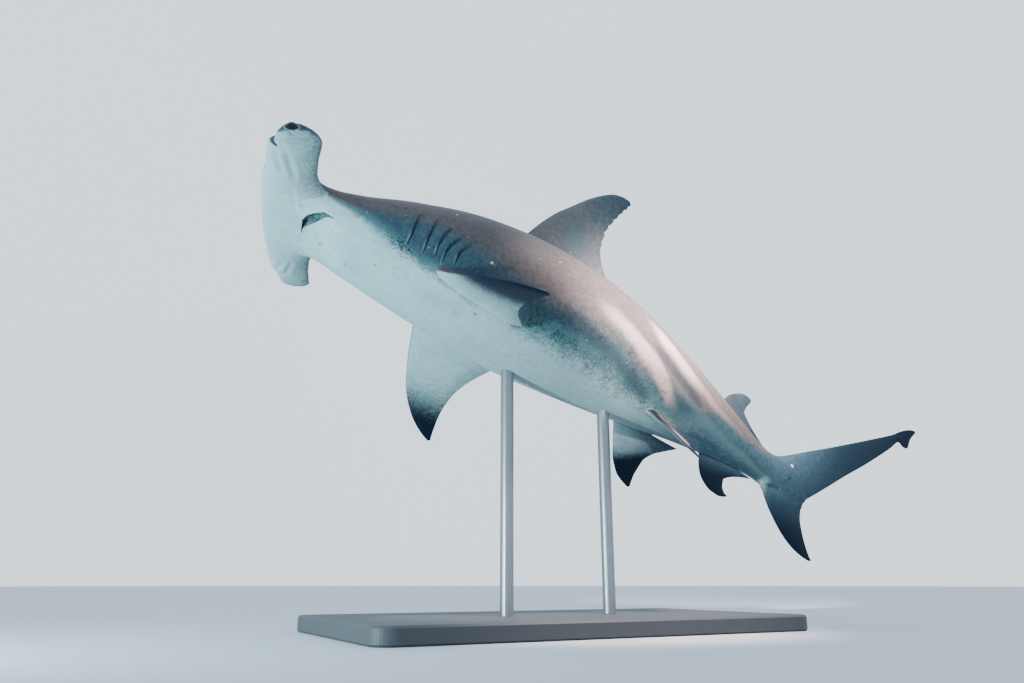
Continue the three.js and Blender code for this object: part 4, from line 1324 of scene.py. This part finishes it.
# Stand
def plate_material():
    m = Look("stand_plate_paint")
    fine = m.noise(m.place(), 900, 2)
    m.shade(Base_Color=m.mix(fine, colour(62, 65, 69), colour(78, 81, 85)))
    m.rough(0.45, fine, 0.2)
    m.bump(fine, 0.25, 0.0006)
    return m.material


def rod_material():
    m = Look("brushed_rod")
    lines = m.noise(m.stretched(m.place(), (0, 0, 0), (1, 1, 0.02)), 700, 3)
    m.shade(Base_Color=m.mix(lines, colour(140, 143, 147), colour(176, 179, 183)), Metallic=0.9)
    m.rough(0.28, lines, 0.16)
    return m.material


def give(node, material):
    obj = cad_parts[node]
    obj.data.materials.clear()
    obj.data.materials.append(material)


give("stand_base", plate_material())
rod_look = rod_material()
for name in ("stand_rod_front", "stand_rod_rear"):
    give(name, rod_look)


# Floor, light and camera
def floor_material():
    m = Look("pale_floor")
    cloud = m.noise(m.place(), 0.8, 3)
    m.shade(Base_Color=m.mix(cloud, colour(206, 210, 214), colour(214, 218, 221)), Roughness=0.7)
    return m.material


FLOOR_HALF = 40
floor_corners = [(x * FLOOR_HALF, y * FLOOR_HALF, 0) for x, y in ((-1, -1), (1, -1), (1, 1), (-1, 1))]
floor = new_object("floor", floor_corners, [[0, 1, 2, 3]])
floor.data.materials.append(floor_material())
floor.visible_diffuse = False


def backdrop_material():
    m = Look("pale_backdrop")
    cloud = m.noise(m.place(), 0.03, 2)
    tint = m.mix(cloud, colour(212, 228, 242), colour(226, 238, 248))
    glow = m.add("ShaderNodeEmission", Color=tint, Strength=1.9)
    m.put(m.tree.nodes["Material Output"].inputs["Surface"], glow.outputs["Emission"])
    return m.material


# A pale round backdrop that only the camera sees; the light comes from the world and the lamps
BACKDROP_RADIUS = 38.0
points, faces = ball(np.zeros(3), np.full(3, BACKDROP_RADIUS), 64, 32)
backdrop = new_object("backdrop", points, [face[::-1] for face in faces])
shade_smooth(backdrop.data)
backdrop.data.materials.append(backdrop_material())
for kind in ("diffuse", "glossy", "transmission", "shadow", "volume_scatter"):
    setattr(backdrop, f"visible_{kind}", False)

# Soft light from all sides, stronger from above
world = bpy.data.worlds.new("studio")
world.use_nodes = True
sky = Nodes(world.node_tree)
soft = sky.tree.nodes["Background"]
way = sky.add("ShaderNodeTexCoord").outputs["Generated"]
high = sky.add("ShaderNodeSeparateXYZ", Vector=way).outputs["Z"]
strength = sky.add("ShaderNodeMapRange", Value=high, From_Min=-1, From_Max=1, To_Min=0.05,
                   To_Max=1.95)
sky.put(soft.inputs["Color"], colour(200, 220, 238))
sky.put(soft.inputs["Strength"], strength.outputs["Result"])
bpy.context.scene.world = world

# Lamps: place, aim, angle, soft edge, power and colour
LAMP_RADIUS = 0.12
LAMPS = {
    "side": ((-0.61, -1.69, 1.13), (0.32, -0.21, 1.13), 23.5, 0.79, 1444, (255, 234, 226)),
    "rear": ((-0.4, -1.34, 1.66), (0.98, 0.23, 1.02), 22.9, 0.24, 1629, (255, 236, 228)),
    "above": ((0.64, -1.29, 3.49), (0.28, -0.33, 1.03), 27, 0.74, 1142, (255, 234, 226)),
    "front": ((-2.61, -0.46, 0.31), (-0.82, 0.32, 0.35), 117.5, 1, 285, (206, 246, 250)),
}
for name, (place, aim, angle, blend, power, tint) in LAMPS.items():
    lamp = bpy.data.lights.new(name, "SPOT")
    lamp.spot_size, lamp.spot_blend = math.radians(angle), blend
    lamp.shadow_soft_size, lamp.energy, lamp.color = LAMP_RADIUS, power, colour(*tint)[:3]
    hung = linked(name, lamp)
    hung.location = place
    hung.rotation_mode = "QUATERNION"
    hung.rotation_quaternion = (Vector(aim) - Vector(place)).to_track_quat("-Z", "Y")

CAMERA_PLACE = (-1.4076, -2.2878, 0.1497)
CAMERA_RIGHT = (0.87792, -0.47880, 0.00012)
CAMERA_UP = (-0.14232, -0.26072, 0.95487)
CAMERA_BACK = (-0.45716, -0.83832, -0.29704)
LENS, SENSOR = 27.261, 36
camera = linked("camera", bpy.data.cameras.new("camera"))
camera.data.lens, camera.data.sensor_width = LENS, SENSOR
axes = Matrix((CAMERA_RIGHT, CAMERA_UP, CAMERA_BACK)).transposed()
camera.matrix_world = Matrix.Translation(CAMERA_PLACE) @ axes.to_4x4()
bpy.context.scene.camera = camera
